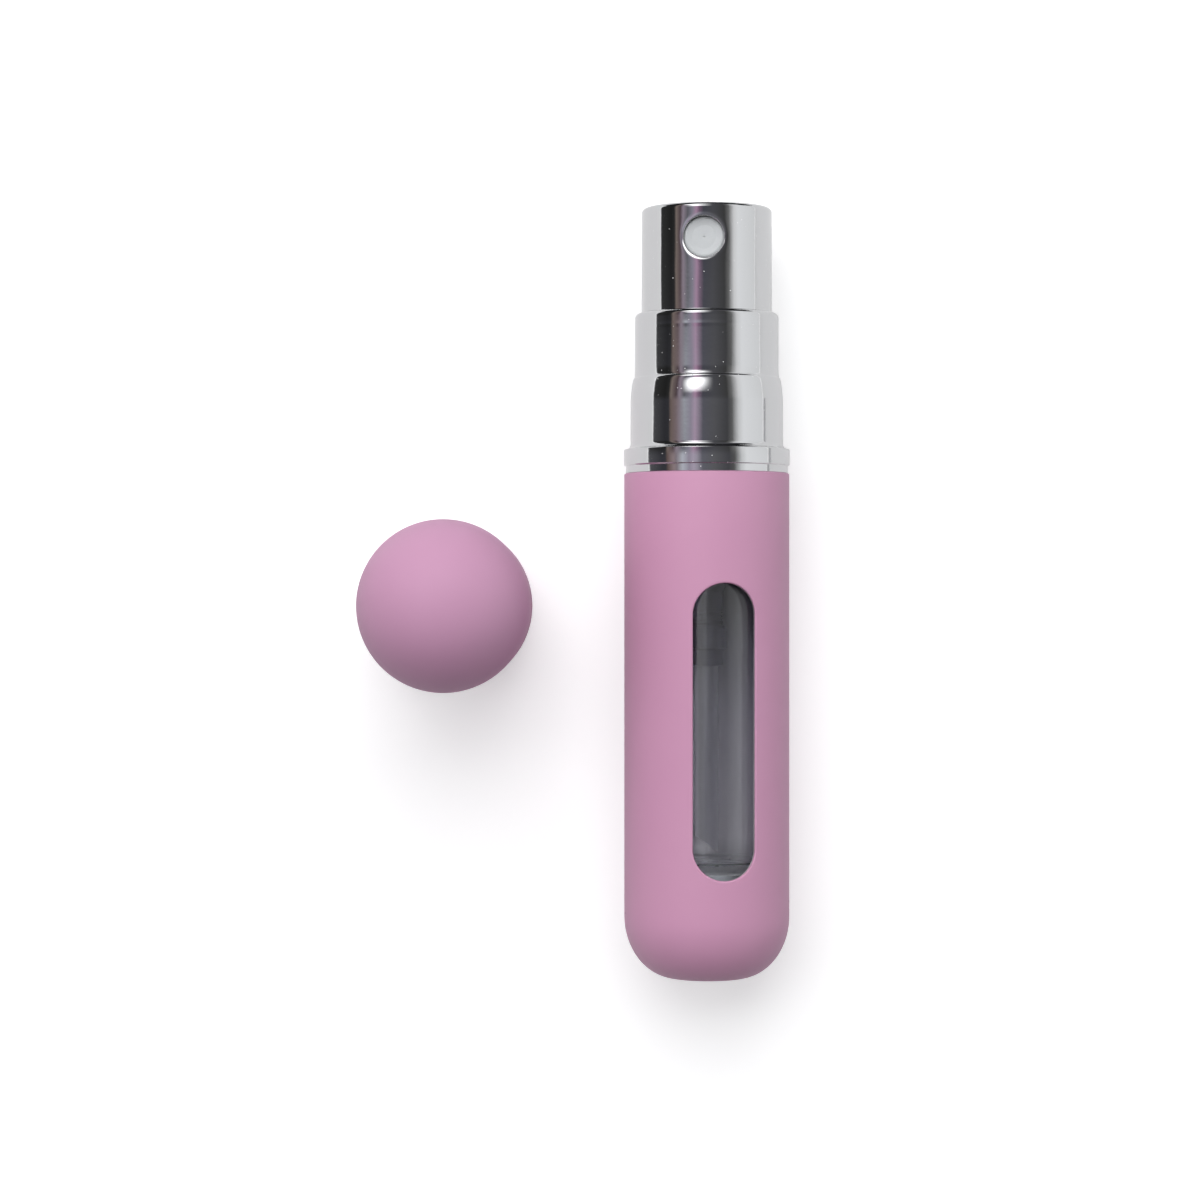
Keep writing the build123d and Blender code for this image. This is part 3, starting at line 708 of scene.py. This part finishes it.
# The lower tier's shoulder leans in more and more towards its top: (distance below the top, lean in
# degrees). The upper tier rises from it in a long hollow.
SHOULDER_LEAN = (
    (2.70, 0.0),
    (2.20, 2.2),
    (1.80, 4.6),
    (1.30, 6.2),
    (0.80, 8.2),
    (0.45, 10.5),
    (0.20, 18.0),
    (0.04, 50.0),
)
HOLLOW_RISE = 0.9 * MM
quarter_steps = np.linspace(0, np.pi / 2, 25)
shoulder_below = np.linspace(SHOULDER_LEAN[0][0], SHOULDER_LEAN[-1][0], 54)
lean_below, lean_degrees = np.array(SHOULDER_LEAN).T
shoulder_lean = np.interp(-shoulder_below, -lean_below, lean_degrees)
shoulder_step = (shoulder_below[0] - shoulder_below[1]) * np.tan(np.radians(shoulder_lean))
shoulder_drop = np.cumsum(shoulder_step) - shoulder_step / 2
lower_shoulder = joined(LOWER_RADIUS - shoulder_drop * MM, LOWER_TOP - shoulder_below * MM)
hollow_flare = LOWER_RADIUS - shoulder_drop[-1] * MM - UPPER_RADIUS
upper_hollow = joined(
    UPPER_RADIUS + hollow_flare * (1 - np.sin(quarter_steps)),
    LOWER_TOP + HOLLOW_RISE * (1 - np.cos(quarter_steps)),
)
band_bottom = shell_length + 0.01 * MM
collar_outline = rounded(
    [
        (SKIRT_INNER, collar_bottom, 0),
        (SKIRT_OUTER, collar_bottom, 0.1 * MM),
        (SKIRT_OUTER, band_bottom, 0),
        (BAND_RADIUS, band_bottom, 0.06 * MM),
        (BAND_RADIUS, RING_BASE, 0.06 * MM),
        (ring_radius, RING_BASE, 0.12 * MM),
        (ring_radius, RING_TOP, 0.1 * MM),
        (LOWER_RADIUS + COVE_REACH, RING_TOP, 0),
    ],
    8,
)
ring_cove = joined(
    LOWER_RADIUS + COVE_REACH * (1 - np.sin(quarter_steps)),
    RING_TOP + (SHOULDER_TOP - RING_TOP) * (1 - np.cos(quarter_steps)),
)
# Close rows where the upper tier has its sink.
upper_wall = joined(UPPER_RADIUS, np.linspace(*SINK_ROWS, 33) * MM)
collar_inside = rounded(
    [
        (UPPER_RADIUS, UPPER_WALL_TOP, 0),
        (UPPER_RADIUS, collar_top, 0.5 * MM),
        (BUTTON_BORE, collar_top, 0.06 * MM),
        (BUTTON_BORE, LOWER_TOP - COLLAR_WALL, 0),
        (LOWER_RADIUS - COLLAR_WALL, LOWER_TOP - COLLAR_WALL, 0),
        (LOWER_RADIUS - COLLAR_WALL, vial_top, 0),
        (SKIRT_INNER, vial_top, 0),
        (SKIRT_INNER, collar_bottom + 0.05 * MM, 0),
    ],
    10,
)
collar_profile = np.concatenate(
    (collar_outline, ring_cove[1:], lower_shoulder, upper_hollow[1:], upper_wall, collar_inside)
)
collar_points, collar_faces = turned(collar_profile, 256)


def from_axis(points):
    """How far points lie from the bottle's axis, and their angle from straight up towards +X."""
    side = points[:, [0, 2]] - (axis_x, axis_z)
    return np.hypot(side[:, 0], side[:, 1]), np.arctan2(side[:, 0], side[:, 1])


def draw_in(points, depth):
    """Moves points towards the bottle's axis, each by its own depth."""
    reach = np.maximum(from_axis(points)[0], MM)
    points[:, [0, 2]] -= (points[:, [0, 2]] - (axis_x, axis_z)) * (depth / reach)[:, None]


# A snap bead inside the upper tier shows outside as a shallow ring-shaped sink, deeper over the
# snap's three tongues. The wall is drawn in by that depth.
SINK_MIDDLE = 66.85 * MM
SINK_WIDTH = 0.2 * MM
SINK_DEPTH = 0.0068 * MM
TONGUE_WIDTH = 0.28
TONGUE_SHIFT = 0.35 * np.pi
reach, angle = from_axis(collar_points)
from_tongue = (angle + 0.2 + TONGUE_SHIFT) % (2 * np.pi / 3) - TONGUE_SHIFT
tongue = 0.35 + np.exp(-((from_tongue / TONGUE_WIDTH) ** 2))
from_sink = (collar_points[:, 1] - base_y - SINK_MIDDLE) / SINK_WIDTH
sink = SINK_DEPTH * tongue * np.exp(-(from_sink**2))
draw_in(collar_points, sink * (reach > UPPER_RADIUS - 0.01 * MM))
collar_surface = (collar_points, collar_faces)
add_piece("collar_plate", collar_surface, "bottle", "chrome_plate", "collar", chrome)


# --- Spray button -----------------------------------------------------------------------------
# A drawn cup of bright plated metal over a white moulded core, with a round hole in its side for
# the nozzle. The nozzle is a small white moulding, pressed in, with a soft rim and a dished face.
cup_radius, cup_bottom, cup_top = extent("button_shell")
CUP_WALL = 0.35 * MM
CUP_CROWN = 0.4 * MM
CUP_EDGE = 0.45 * MM
HOLE_RADIUS = 2.09 * MM
HOLE_EDGE_ROUND = 0.1 * MM
HOLE_DROP = 3.5 * MM
NOZZLE_TURN = math.radians(-5.2)
HOLE_STEPS = 24


def hole_outline(grow, across, along):
    """A circle's outline as (sideways, lengthways) points, from its lower left, grown by `grow`.
    A quarter of it faces each side of a square patch."""
    turn = np.pi * (1.25 + 0.5 * np.arange(across) / across)
    rise = np.pi * (-0.25 + 0.5 * np.arange(along) / along)
    angles = np.concatenate((turn, rise, turn - np.pi, rise + np.pi))
    return (HOLE_RADIUS + grow) * joined(np.cos(angles), np.sin(angles))


hole_middle = cup_top - HOLE_DROP
HOLE_PATCH = 2.9 * MM
hole_rise = np.linspace(hole_middle - HOLE_PATCH, hole_middle + HOLE_PATCH, HOLE_STEPS + 1)
cup_inner = cup_radius - CUP_WALL
TINY = 0.02 * MM
crown_turn = np.linspace(0, np.pi / 2, 13)
crown_corner = joined(
    cup_radius - CUP_EDGE * (1 - np.cos(crown_turn)), cup_top - CUP_EDGE * (1 - np.sin(crown_turn))
)
crown_top = joined(np.linspace(cup_radius - CUP_EDGE, TINY, 24)[1:], cup_top)
crown_inner = cup_top - CUP_CROWN
crown_under = joined(np.linspace(TINY, cup_inner - TINY, 4), crown_inner)
cup_profile = np.concatenate(
    (
        [(cup_radius, cup_bottom)],
        joined(cup_radius, hole_rise),
        crown_corner,
        crown_top,
        crown_under,
        joined(cup_inner, np.minimum(hole_rise[::-1], crown_inner)),
        [(cup_inner, cup_bottom)],
    )
)
(cup_points, cup_faces), _ = pierced_tube(
    cup_profile,
    1,
    1 + len(hole_rise) + len(crown_corner) + len(crown_top) + len(crown_under),
    HOLE_STEPS,
    ring_columns(NOZZLE_TURN, HOLE_PATCH, cup_radius, HOLE_STEPS, 184),
    HOLE_STEPS,
    hole_outline,
    hole_middle,
    NOZZLE_TURN,
    HOLE_EDGE_ROUND,
)

# Punching the hole has drawn its edge in: the wall lies deeper there, by a depth that falls off
# exponentially with the distance from the edge.
DRAW_IN = 0.032 * MM
DRAW_REACH = 0.12 * MM
reach, angle = from_axis(cup_points)
angle -= NOZZLE_TURN
from_hole = np.hypot(reach * np.sin(angle), cup_points[:, 1] - base_y - hole_middle)
from_edge = np.maximum(from_hole - HOLE_RADIUS - HOLE_EDGE_ROUND, 0)
draw_in(cup_points, DRAW_IN * np.exp(-from_edge / DRAW_REACH) * (np.cos(angle) > 0))
cup_surface = (cup_points, cup_faces)
add_piece("button_cup", cup_surface, "sprayer", "chrome_plate", "button_shell", chrome)


def grained(name, scales, colours, gloss, depth, **values):
    """A plain plastic or rubber. Its colour, gloss and surface vary with a grain of two scales."""
    material, tree, shader = new_material(name)
    fine = add_group(tree, grain, Scale=scales[0], Coarse_Scale=scales[1])
    colour = mix_colour(tree, fine, *colours)
    finish_surface(tree, shader, colour, fine, gloss, depth, **values)
    return material


# Nozzle: opaque white plastic that lets a little light in.
nozzle_white = grained(
    "nozzle_plastic",
    (5000.0, 900.0),
    ((0.52, 0.54, 0.55), (0.57, 0.59, 0.60)),
    (0.3, 0.42),
    0.000008,
    Subsurface_Weight=0.25,
    Subsurface_Radius=(0.0006, 0.0006, 0.0006),
)

NOZZLE_RADIUS = 2.08 * MM
NOZZLE_BORE = 1.3 * MM
NOZZLE_FACE = 5.95 * MM
NOZZLE_FACE_WALL = 0.65 * MM
NOZZLE_BACK = 3.5 * MM
NOZZLE_DISH = 0.08 * MM
NOZZLE_RIM = 0.28 * MM
NOZZLE_ORIFICE = 0.05 * MM


def turned_aside(profile, columns=128):
    """A surface turned about the nozzle's own axis, from a closed outline of (radius, distance
    from the bottle's axis) points. The nozzle's axis leans by its turn from straight up."""
    angles = np.linspace(0, 2 * np.pi, columns, endpoint=False)
    reach, height = profile[:, :1], profile[:, 1:]
    side = reach * np.cos(angles)
    along = reach * np.sin(angles)
    x = axis_x + height * math.sin(NOZZLE_TURN) + side * math.cos(NOZZLE_TURN)
    z = axis_z + height * math.cos(NOZZLE_TURN) - side * math.sin(NOZZLE_TURN)
    points = joined(x, base_y + hole_middle + along, z).reshape(-1, 3)
    return points, grid_faces(len(profile), columns, True).reshape(-1, 4)[:, ::-1].tolist()


nozzle_inner = NOZZLE_FACE - NOZZLE_FACE_WALL
insert_profile = rounded(
    [
        (NOZZLE_ORIFICE, nozzle_inner, 0),
        (NOZZLE_ORIFICE, NOZZLE_FACE - NOZZLE_DISH, 0.03 * MM),
        (1.2 * MM, NOZZLE_FACE - NOZZLE_DISH, 0.5 * MM),
        (NOZZLE_RADIUS - 0.3 * MM, NOZZLE_FACE, 0.12 * MM),
        (NOZZLE_RADIUS, NOZZLE_FACE, NOZZLE_RIM),
        (NOZZLE_RADIUS, NOZZLE_BACK, 0.05 * MM),
        (NOZZLE_BORE, NOZZLE_BACK, 0),
        (NOZZLE_BORE, nozzle_inner, 0),
    ]
)
insert_surface = turned_aside(insert_profile)
add_piece("nozzle", insert_surface, "sprayer", "nozzle_white", "nozzle_insert", nozzle_white)


# --- White mouldings --------------------------------------------------------------------------
# Opaque white plastic: the button's core, the parts that hold the pump in the collar, the stem and
# the valve's plunger. They are plain injection mouldings with a fine matt skin.
white = grained(
    "white_moulding", (4000.0, 700.0), ((0.76, 0.77, 0.76), (0.83, 0.84, 0.83)), (0.3, 0.45), 0.00001
)


def dress(names, material):
    """Gives CAD pieces that stay in the scene their material, in its slot."""
    for name in names:
        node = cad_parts[name]
        node.data.materials.clear()
        node.data.materials.append(material)


dress(
    ("button_core", "collar_liner", "pump_holder", "pump_closure", "pump_stem", "valve_plunger"),
    white,
)


# --- Filling port -----------------------------------------------------------------------------
# White bush in the base, through which the vial is filled: a mouth, a lead bore with a groove, an
# inner bore that stops a bottle's stem, and the valve's chamber.
_, port_mouth, port_end = extent("filler_port")
PORT_BORE = 2.05 * MM
PORT_LEAD = 2.9 * MM
PORT_GROOVE_RADIUS = 2.4 * MM
PORT_GROOVE_FROM = 3.0 * MM
PORT_GROOVE_TO = 3.5 * MM
PORT_STEM_BORE = 1.95 * MM
PORT_STOP = 5.4 * MM
PORT_LAND_RADIUS = 1.35 * MM
PORT_CHAMBER_RADIUS = 2.4 * MM
PORT_CHAMBER_FROM = 6.4 * MM
PORT_SPIGOT_RADIUS = 2.7 * MM
PORT_FLANGE_RADIUS = 3.25 * MM
PORT_FLANGE_FROM = 0.62 * MM
PORT_FLANGE_TO = 1.82 * MM
PORT_BODY_RADIUS = 3.0 * MM
port_profile = rounded(
    [
        (PORT_BORE, PORT_LEAD, 0),
        (PORT_BORE, port_mouth, 0.2 * MM),
        (PORT_SPIGOT_RADIUS, port_mouth, 0.1 * MM),
        (PORT_SPIGOT_RADIUS, PORT_FLANGE_FROM, 0),
        (PORT_FLANGE_RADIUS, PORT_FLANGE_FROM, 0.05 * MM),
        (PORT_FLANGE_RADIUS, PORT_FLANGE_TO, 0.05 * MM),
        (PORT_BODY_RADIUS, PORT_FLANGE_TO, 0),
        (PORT_BODY_RADIUS, port_end, 0.05 * MM),
        (PORT_CHAMBER_RADIUS, port_end, 0),
        (PORT_CHAMBER_RADIUS, PORT_CHAMBER_FROM, 0),
        (PORT_LAND_RADIUS, PORT_CHAMBER_FROM, 0),
        (PORT_LAND_RADIUS, PORT_STOP, 0),
        (PORT_STEM_BORE, PORT_STOP, 0),
        (PORT_STEM_BORE, PORT_GROOVE_TO, 0.05 * MM),
        (PORT_GROOVE_RADIUS, PORT_GROOVE_TO, 0),
        (PORT_GROOVE_RADIUS, PORT_GROOVE_FROM, 0),
        (PORT_BORE, PORT_GROOVE_FROM, 0),
    ]
)
port_surface = turned(port_profile, 128)
add_piece("filler_bush", port_surface, "bottle", "white_plastic", "filler_port", white)


# --- Rubber, piston and ball ------------------------------------------------------------------
# Grey rubber rings seal the vial, the pump and the valve. The piston is a softer natural plastic,
# and the check ball is polished steel.
rubber = grained(
    "grey_rubber", (9000.0, 2500.0), ((0.12, 0.12, 0.125), (0.2, 0.2, 0.205)), (0.6, 0.8), 0.00002
)
soft = grained(
    "piston_plastic", (3000.0, 600.0), ((0.6, 0.62, 0.62), (0.7, 0.71, 0.7)), (0.35, 0.5), 0.000008
)
steel, steel_tree, steel_shader = new_material("spring_steel")
steel_marks = noise(steel_tree, 5000.0, 3.0, object_place(steel_tree))
steel_colour = mix_colour(steel_tree, steel_marks, (0.5, 0.5, 0.51), (0.62, 0.62, 0.63))
finish_surface(
    steel_tree, steel_shader, steel_colour, steel_marks, (0.15, 0.3), 0.000005, Metallic=1.0
)

dress(("neck_gasket", "housing_gasket", "stem_seal", "port_seal"), rubber)
dress(("piston",), soft)
dress(("check_ball",), steel)


# --- Springs ----------------------------------------------------------------------------------
# Coils of round steel wire: one returns the button and the other shuts the filling valve.
PUMP_WIRE = 0.2 * MM
PUMP_TURNS = 5
VALVE_WIRE = 0.125 * MM
VALVE_TURNS = 3


def coil(node, wire, turns, around=12, steps=48):
    """A helix of round wire that fills a CAD spring's height. Round circles of the wire's radius
    are carried along the helix, each in the plane across it."""
    radius, bottom, top = extent(node)
    radius -= wire
    height = top - bottom - 2 * wire
    turn = np.linspace(0, 2 * np.pi * turns, turns * steps + 1)[:, None]
    climb = height / (2 * np.pi * turns)
    round_wire = np.linspace(0, 2 * np.pi, around, endpoint=False)[None, :]
    lean = math.atan2(climb, radius)
    outward = wire * np.cos(round_wire)
    upward = wire * np.sin(round_wire)
    angle = turn - upward * math.sin(lean) / radius
    station = bottom + wire + climb * turn + upward * math.cos(lean)
    points = lay(radius + outward, station, angle)
    rows = points.shape[0]
    faces = grid_faces(rows, around, False).reshape(-1, 4)[:, ::-1].tolist()
    faces.append(list(range(around)))
    faces.append([rows * around - 1 - i for i in range(around)])
    return points.reshape(-1, 3), faces


for name, node, wire, turns, joint, travel, anchored_high in (
    ("pump_coil", "pump_spring", PUMP_WIRE, PUMP_TURNS, "spray_press", 3.5 * MM, False),
    ("valve_coil", "valve_spring", VALVE_WIRE, VALVE_TURNS, "valve_push", 1.0 * MM, True),
):
    spring = add_piece(name, coil(node, wire, turns), "bottle", "steel", node, steel)
    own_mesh(spring)


# --- Cap --------------------------------------------------------------------------------------
# Drawn like the shell, coated a shade deeper, with a round end. It stands on its open rim. Inside it
# a plastic sleeve with low ribs grips the collar's upper tier.
cap_low, cap_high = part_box("cap_shell")
cap_radius = (cap_high.x - cap_low.x) / 2
cap_x = (cap_high.x + cap_low.x) / 2
cap_y = (cap_high.y + cap_low.y) / 2
cap_height = cap_high.z - cap_low.z
CAP_WALL = 0.5 * MM
CAP_COLUMNS = 256
cap_coat = soft_touch("cap_coat", (0.568, 0.308, 0.458), (0.546, 0.283, 0.438), 0.03)


def stand(radius, height, angle):
    """Points of the standing cap, at a radius from its upright axis and a height."""
    y = cap_y + radius * np.sin(angle)
    return joined(cap_x + radius * np.cos(angle), y, cap_low.z + height)


dome = np.linspace(0, np.pi / 2, 65)[:-1]
cap_inner = cap_radius - CAP_WALL
dome_base = cap_height - cap_radius
rim = rounded(
    [
        (cap_inner, dome_base, 0),
        (cap_inner, 0, 0.12 * MM),
        (cap_radius, 0, 0.12 * MM),
        (cap_radius, dome_base * 0.98, 0),
    ]
)
cap_outside = joined(cap_radius * np.cos(dome), dome_base + cap_radius * np.sin(dome))
cap_inside = joined(cap_inner * np.cos(dome), dome_base + cap_inner * np.sin(dome))
cap_profile = np.concatenate((cap_inside[:0:-1], rim, cap_outside))
cap_angles = np.linspace(0, 2 * np.pi, CAP_COLUMNS, endpoint=False)
cap_grid = stand(cap_profile[:, :1], cap_profile[:, 1:], cap_angles[None, :]).reshape(-1, 3)
cap_poles = stand(np.zeros(2), np.array([cap_height - CAP_WALL, cap_height]), np.zeros(2))
cap_rows = len(cap_profile)
around = np.arange(CAP_COLUMNS)
last_row = around + (cap_rows - 1) * CAP_COLUMNS
inner_pole = np.full(CAP_COLUMNS, len(cap_grid))
cap_faces = grid_faces(cap_rows, CAP_COLUMNS, False).reshape(-1, 4).tolist()
cap_faces += np.stack((inner_pole, np.roll(around, -1), around), axis=-1).tolist()
cap_faces += np.stack((inner_pole + 1, last_row, np.roll(last_row, -1)), axis=-1).tolist()
cap_surface = (np.concatenate((cap_grid, cap_poles)), cap_faces)
cap_skin = add_piece(
    "cap_skin", cap_surface, "cap", "soft_touch_pink", "cap_shell", cap_coat, bare
)
cap_wall_row = len(cap_inside) - 1
cap_is_inside = np.zeros(len(cap_faces), np.int32)
cap_is_inside[: cap_wall_row * CAP_COLUMNS] = 1
cap_is_inside[(cap_rows - 1) * CAP_COLUMNS : cap_rows * CAP_COLUMNS] = 1
cap_skin.data.polygons.foreach_set("material_index", cap_is_inside)

liner = grained(
    "cap_liner_plastic",
    (3500.0, 800.0),
    ((0.62, 0.62, 0.63), (0.7, 0.7, 0.71)),
    (0.35, 0.5),
    0.000008,
)
dress(("cap_liner",), liner)


# --- Floor and room ---------------------------------------------------------------------------
# A white table, and a round-roofed studio room that only mirrors and gloss see: dark to the left and
# overhead, with a few lit things, and a light wall to the right.
FLOOR_HALF = 3.0
ROOM_RADIUS = 0.8


def stage_panel(name, corners, faces):
    """A mesh that isn't part of the object, its node tree, and an Emission shader in it."""
    material, tree, shader = new_material(name)
    tree.nodes.remove(shader)
    glow = add_node(tree, "Emission")
    set_sockets(tree, tree.nodes["Material Output"], Surface=glow.outputs[0])
    panel = add_mesh(name, corners, faces, material)
    return panel, tree, glow


def only_mirrored(panel):
    """Hides a panel from all but mirrors and gloss."""
    panel.visible_camera = panel.visible_diffuse = False
    panel.visible_transmission = panel.visible_shadow = False


def add_shader(tree, glow, kind, **values):
    """Adds a new shader to the glow in a material's surface."""
    added = tree.nodes.new("ShaderNodeAddShader")
    feed(tree, added.inputs[0], glow.outputs[0])
    feed(tree, added.inputs[1], add_node(tree, kind, **values).outputs[0])
    set_sockets(tree, tree.nodes["Material Output"], Surface=added.outputs[0])


def rectangle(half_x, half_y):
    """Corners of a level rectangle about the origin, and its face."""
    signs = ((-1, -1), (1, -1), (1, 1), (-1, 1))
    return [(x * half_x, y * half_y, 0) for x, y in signs], [(0, 1, 2, 3)]


_, table_tree, table_glow = stage_panel("table", *rectangle(FLOOR_HALF, FLOOR_HALF))
add_shader(table_tree, table_glow, "BsdfDiffuse", Color=(0.74, 0.74, 0.745, 1))
# Far from the object, where the lamps don't reach, the table glows more, so that it stays white.
TABLE_NEAR = 0.2
TABLE_FAR = 0.6
table_away = table_tree.nodes.new("ShaderNodeVectorMath")
table_away.operation = "LENGTH"
table_tree.links.new(object_place(table_tree), table_away.inputs[0])
away = table_away.outputs["Value"]


def table_strength(near, far, *kinds):
    """The table's glow for some kinds of rays, near the object and far from it."""
    strength = map_range(table_tree, away, TABLE_NEAR, TABLE_FAR, near, far, "SMOOTHSTEP")
    return math_node(table_tree, "MULTIPLY", seen_by(table_tree, *kinds), strength)


table_seen = table_strength(0.46, 1.0, "Camera", "Transmission")
table_sum = math_node(table_tree, "ADD", table_seen, table_strength(0.13, 0.75, "Glossy"))
set_sockets(table_tree, table_glow, Strength=table_sum)

# The roof is half a tube along +Y. What it shows changes with the angle from straight up towards
# +X: (degrees, colour towards the button's end, colour towards the base).
ROOF = (
    (-90, (0.50, 0.50, 0.52), (0.50, 0.50, 0.51)),
    (-88, (0.04, 0.04, 0.04), (0.11, 0.11, 0.12)),
    (-68, (0.02, 0.02, 0.02), (0.05, 0.05, 0.06)),
    (-61, (0.03, 0.03, 0.03), (0.05, 0.05, 0.06)),
    (-57, (0.25, 0.20, 0.18), (0.17, 0.12, 0.11)),
    (-49, (0.10, 0.07, 0.08), (0.35, 0.27, 0.28)),
    (-44, (0.35, 0.29, 0.35), (0.29, 0.24, 0.27)),
    (-36, (0.14, 0.14, 0.16), (0.60, 0.62, 0.69)),
    (-27, (0.31, 0.29, 0.36), (0.39, 0.35, 0.44)),
    (-20, (0.50, 0.31, 0.45), (0.52, 0.45, 0.56)),
    (-15, (0.24, 0.15, 0.23), (0.42, 0.38, 0.46)),
    (-8, (0.08, 0.08, 0.10), (0.16, 0.16, 0.19)),
    (8, (0.09, 0.09, 0.10), (0.14, 0.14, 0.15)),
    (28, (0.06, 0.06, 0.06), (0.08, 0.08, 0.09)),
    (36, (0.20, 0.20, 0.20), (0.12, 0.12, 0.12)),
    (46, (0.86, 0.86, 0.87), (0.76, 0.77, 0.78)),
    (54, (0.98, 0.99, 1.01), (0.99, 1.00, 1.02)),
    (90, (0.86, 0.87, 0.88), (0.90, 0.91, 0.93)),
)
ROOF_NEAR_BASE = 0.03
ROOF_NEAR_BUTTON = 0.13
arch = np.linspace(-np.pi / 2, np.pi / 2, 49)
arch_points = joined(axis_x + ROOM_RADIUS * np.sin(arch), ROOM_RADIUS * np.cos(arch)).tolist()
roof_points = [(x, y, z) for y in (-ROOM_RADIUS, ROOM_RADIUS) for x, z in arch_points]
roof_faces = [(i, i + 1, len(arch) + i + 1, len(arch) + i) for i in range(len(arch) - 1)]
roof, roof_tree, roof_glow = stage_panel("studio_roof", roof_points, roof_faces)
only_mirrored(roof)
roof_spot = object_axes(roof_tree)
roof_side = math_node(roof_tree, "SUBTRACT", roof_spot["X"], axis_x)
roof_angle = math_node(roof_tree, "ARCTAN2", roof_side, roof_spot["Z"])
roof_half_turns = math_node(roof_tree, "MULTIPLY", roof_angle, 1 / math.pi)
roof_share = math_node(roof_tree, "ADD", roof_half_turns, 0.5)
roof_ramps = [
    colour_ramp(roof_tree, roof_share, [((row[0] + 90) / 180, row[column]) for row in ROOF])
    for column in (1, 2)
]
roof_along = map_range(
    roof_tree, roof_spot["Y"], ROOF_NEAR_BUTTON, ROOF_NEAR_BASE, curve="SMOOTHSTEP"
)
set_sockets(roof_tree, roof_glow, Color=mix_colour(roof_tree, roof_along, *roof_ramps))

# The room's end walls, a grey card on the table to the right of the collar, and a black card that
# stands beyond the button's end and darkens that end's edge.
for name, corners, colour in (
    ("far_wall", [(x, ROOM_RADIUS, z) for x, z in arch_points], (0.10, 0.10, 0.11)),
    ("near_wall", [(x, -ROOM_RADIUS, z) for x, z in arch_points], (0.05, 0.05, 0.055)),
    (
        "grey_card",
        [(0.12, -0.12, 0.001), (0.24, -0.12, 0.001), (0.24, 0.035, 0.001), (0.12, 0.030, 0.001)],
        (0.50, 0.50, 0.52),
    ),
    (
        "black_card",
        [(-0.05, 0.085, 0), (0.08, 0.085, 0), (0.08, 0.085, 0.035), (-0.05, 0.085, 0.035)],
        (0.02, 0.02, 0.022),
    ),
):
    card, card_tree, card_glow = stage_panel(name, corners, [tuple(range(len(corners)))])
    only_mirrored(card)
    set_sockets(card_tree, card_glow, Color=(*colour, 1))


# --- Lights -----------------------------------------------------------------------------------
# A large soft box overhead beyond the button, a little to the left, and weaker light from the sides.
# Mirrors see the soft box as a panel whose light fades towards its edges.
def soft_box(name, place, target, size, power):
    """A rectangular lamp at `place` that faces `target`, unseen in mirrors."""
    lamp = bpy.data.lights.new(name, "AREA")
    lamp.shape = "RECTANGLE"
    lamp.size, lamp.size_y = size
    lamp.energy = power
    holder = add_object(name, lamp)
    aim = Vector(target) - Vector(place)
    holder.rotation_euler = aim.to_track_quat("-Z", "Y").to_euler()
    holder.location = place
    holder.visible_camera = holder.visible_glossy = False


KEY_PLACE = (-0.05, 0.37, 0.50)
KEY_SIZE = (0.58, 0.53)
soft_box("key_light", KEY_PLACE, (axis_x, 0, 0), KEY_SIZE, 3.5)
soft_box("right_light", (0.75, 0.0, 0.35), (0, 0, 0), (0.5, 1.0), 0.95)
soft_box("left_light", (-0.44, 0.1, 0.70), (0, 0, 0), (0.5, 1.0), 2.0)

# (name, angle from straight up towards the button's end, reach along that angle, strength)
MIRRORED_PANELS = (
    ("overhead_strip", 22.0, 20.0, 3.0),
    ("key_panel", 50.0, 24.0, 4.0),
)
PANEL_DISTANCE = 0.62
PANEL_WIDTH = 0.60
PANEL_SIDE = -0.20
for name, lean, reach_out, strength in MIRRORED_PANELS:
    half_x = PANEL_WIDTH / 2
    half_y = PANEL_DISTANCE * math.tan(math.radians(reach_out / 2))
    panel, panel_tree, panel_glow = stage_panel(name, *rectangle(half_x, half_y))
    only_mirrored(panel)
    lean = math.radians(lean)
    panel.location = (PANEL_SIDE, PANEL_DISTANCE * math.sin(lean), PANEL_DISTANCE * math.cos(lean))
    panel.rotation_euler = (-lean, 0, 0)
    panel_spot = object_axes(panel_tree)
    panel_strength = strength
    for axis, edge in (("X", half_x), ("Y", half_y)):
        distance = math_node(panel_tree, "ABSOLUTE", panel_spot[axis], 0.0)
        fade = map_range(panel_tree, distance, edge, 0.0, curve="SMOOTHSTEP")
        panel_strength = math_node(panel_tree, "MULTIPLY", fade, panel_strength)
    set_sockets(panel_tree, panel_glow, Strength=panel_strength)
    # Where its light has faded, the panel lets the room behind it show.
    add_shader(panel_tree, panel_glow, "BsdfTransparent")

world = bpy.data.worlds.new("studio")
bpy.context.scene.world = world
world.use_nodes = True
world_tree = world.node_tree
world_seen = seen_by(world_tree, "Camera", "Glossy", "Transmission")
world_colour = mix_colour(world_tree, world_seen, (0.14, 0.14, 0.148), (1.0, 1.0, 1.0))
set_sockets(world_tree, world_tree.nodes["Background"], Color=world_colour)


# --- Camera -----------------------------------------------------------------------------------
# Straight above the table, with the image's top towards +Y.
CAMERA_PLACE = (-1.5 * MM, -0.7 * MM, 340 * MM)
camera_data = bpy.data.cameras.new("camera")
camera_data.sensor_width = 36.0
camera_data.lens = 96.45
camera_data.shift_x = 0.0307
camera = add_object("camera", camera_data)
camera.location = CAMERA_PLACE
bpy.context.scene.camera = camera

bpy.context.scene.view_settings.view_transform = "Standard"
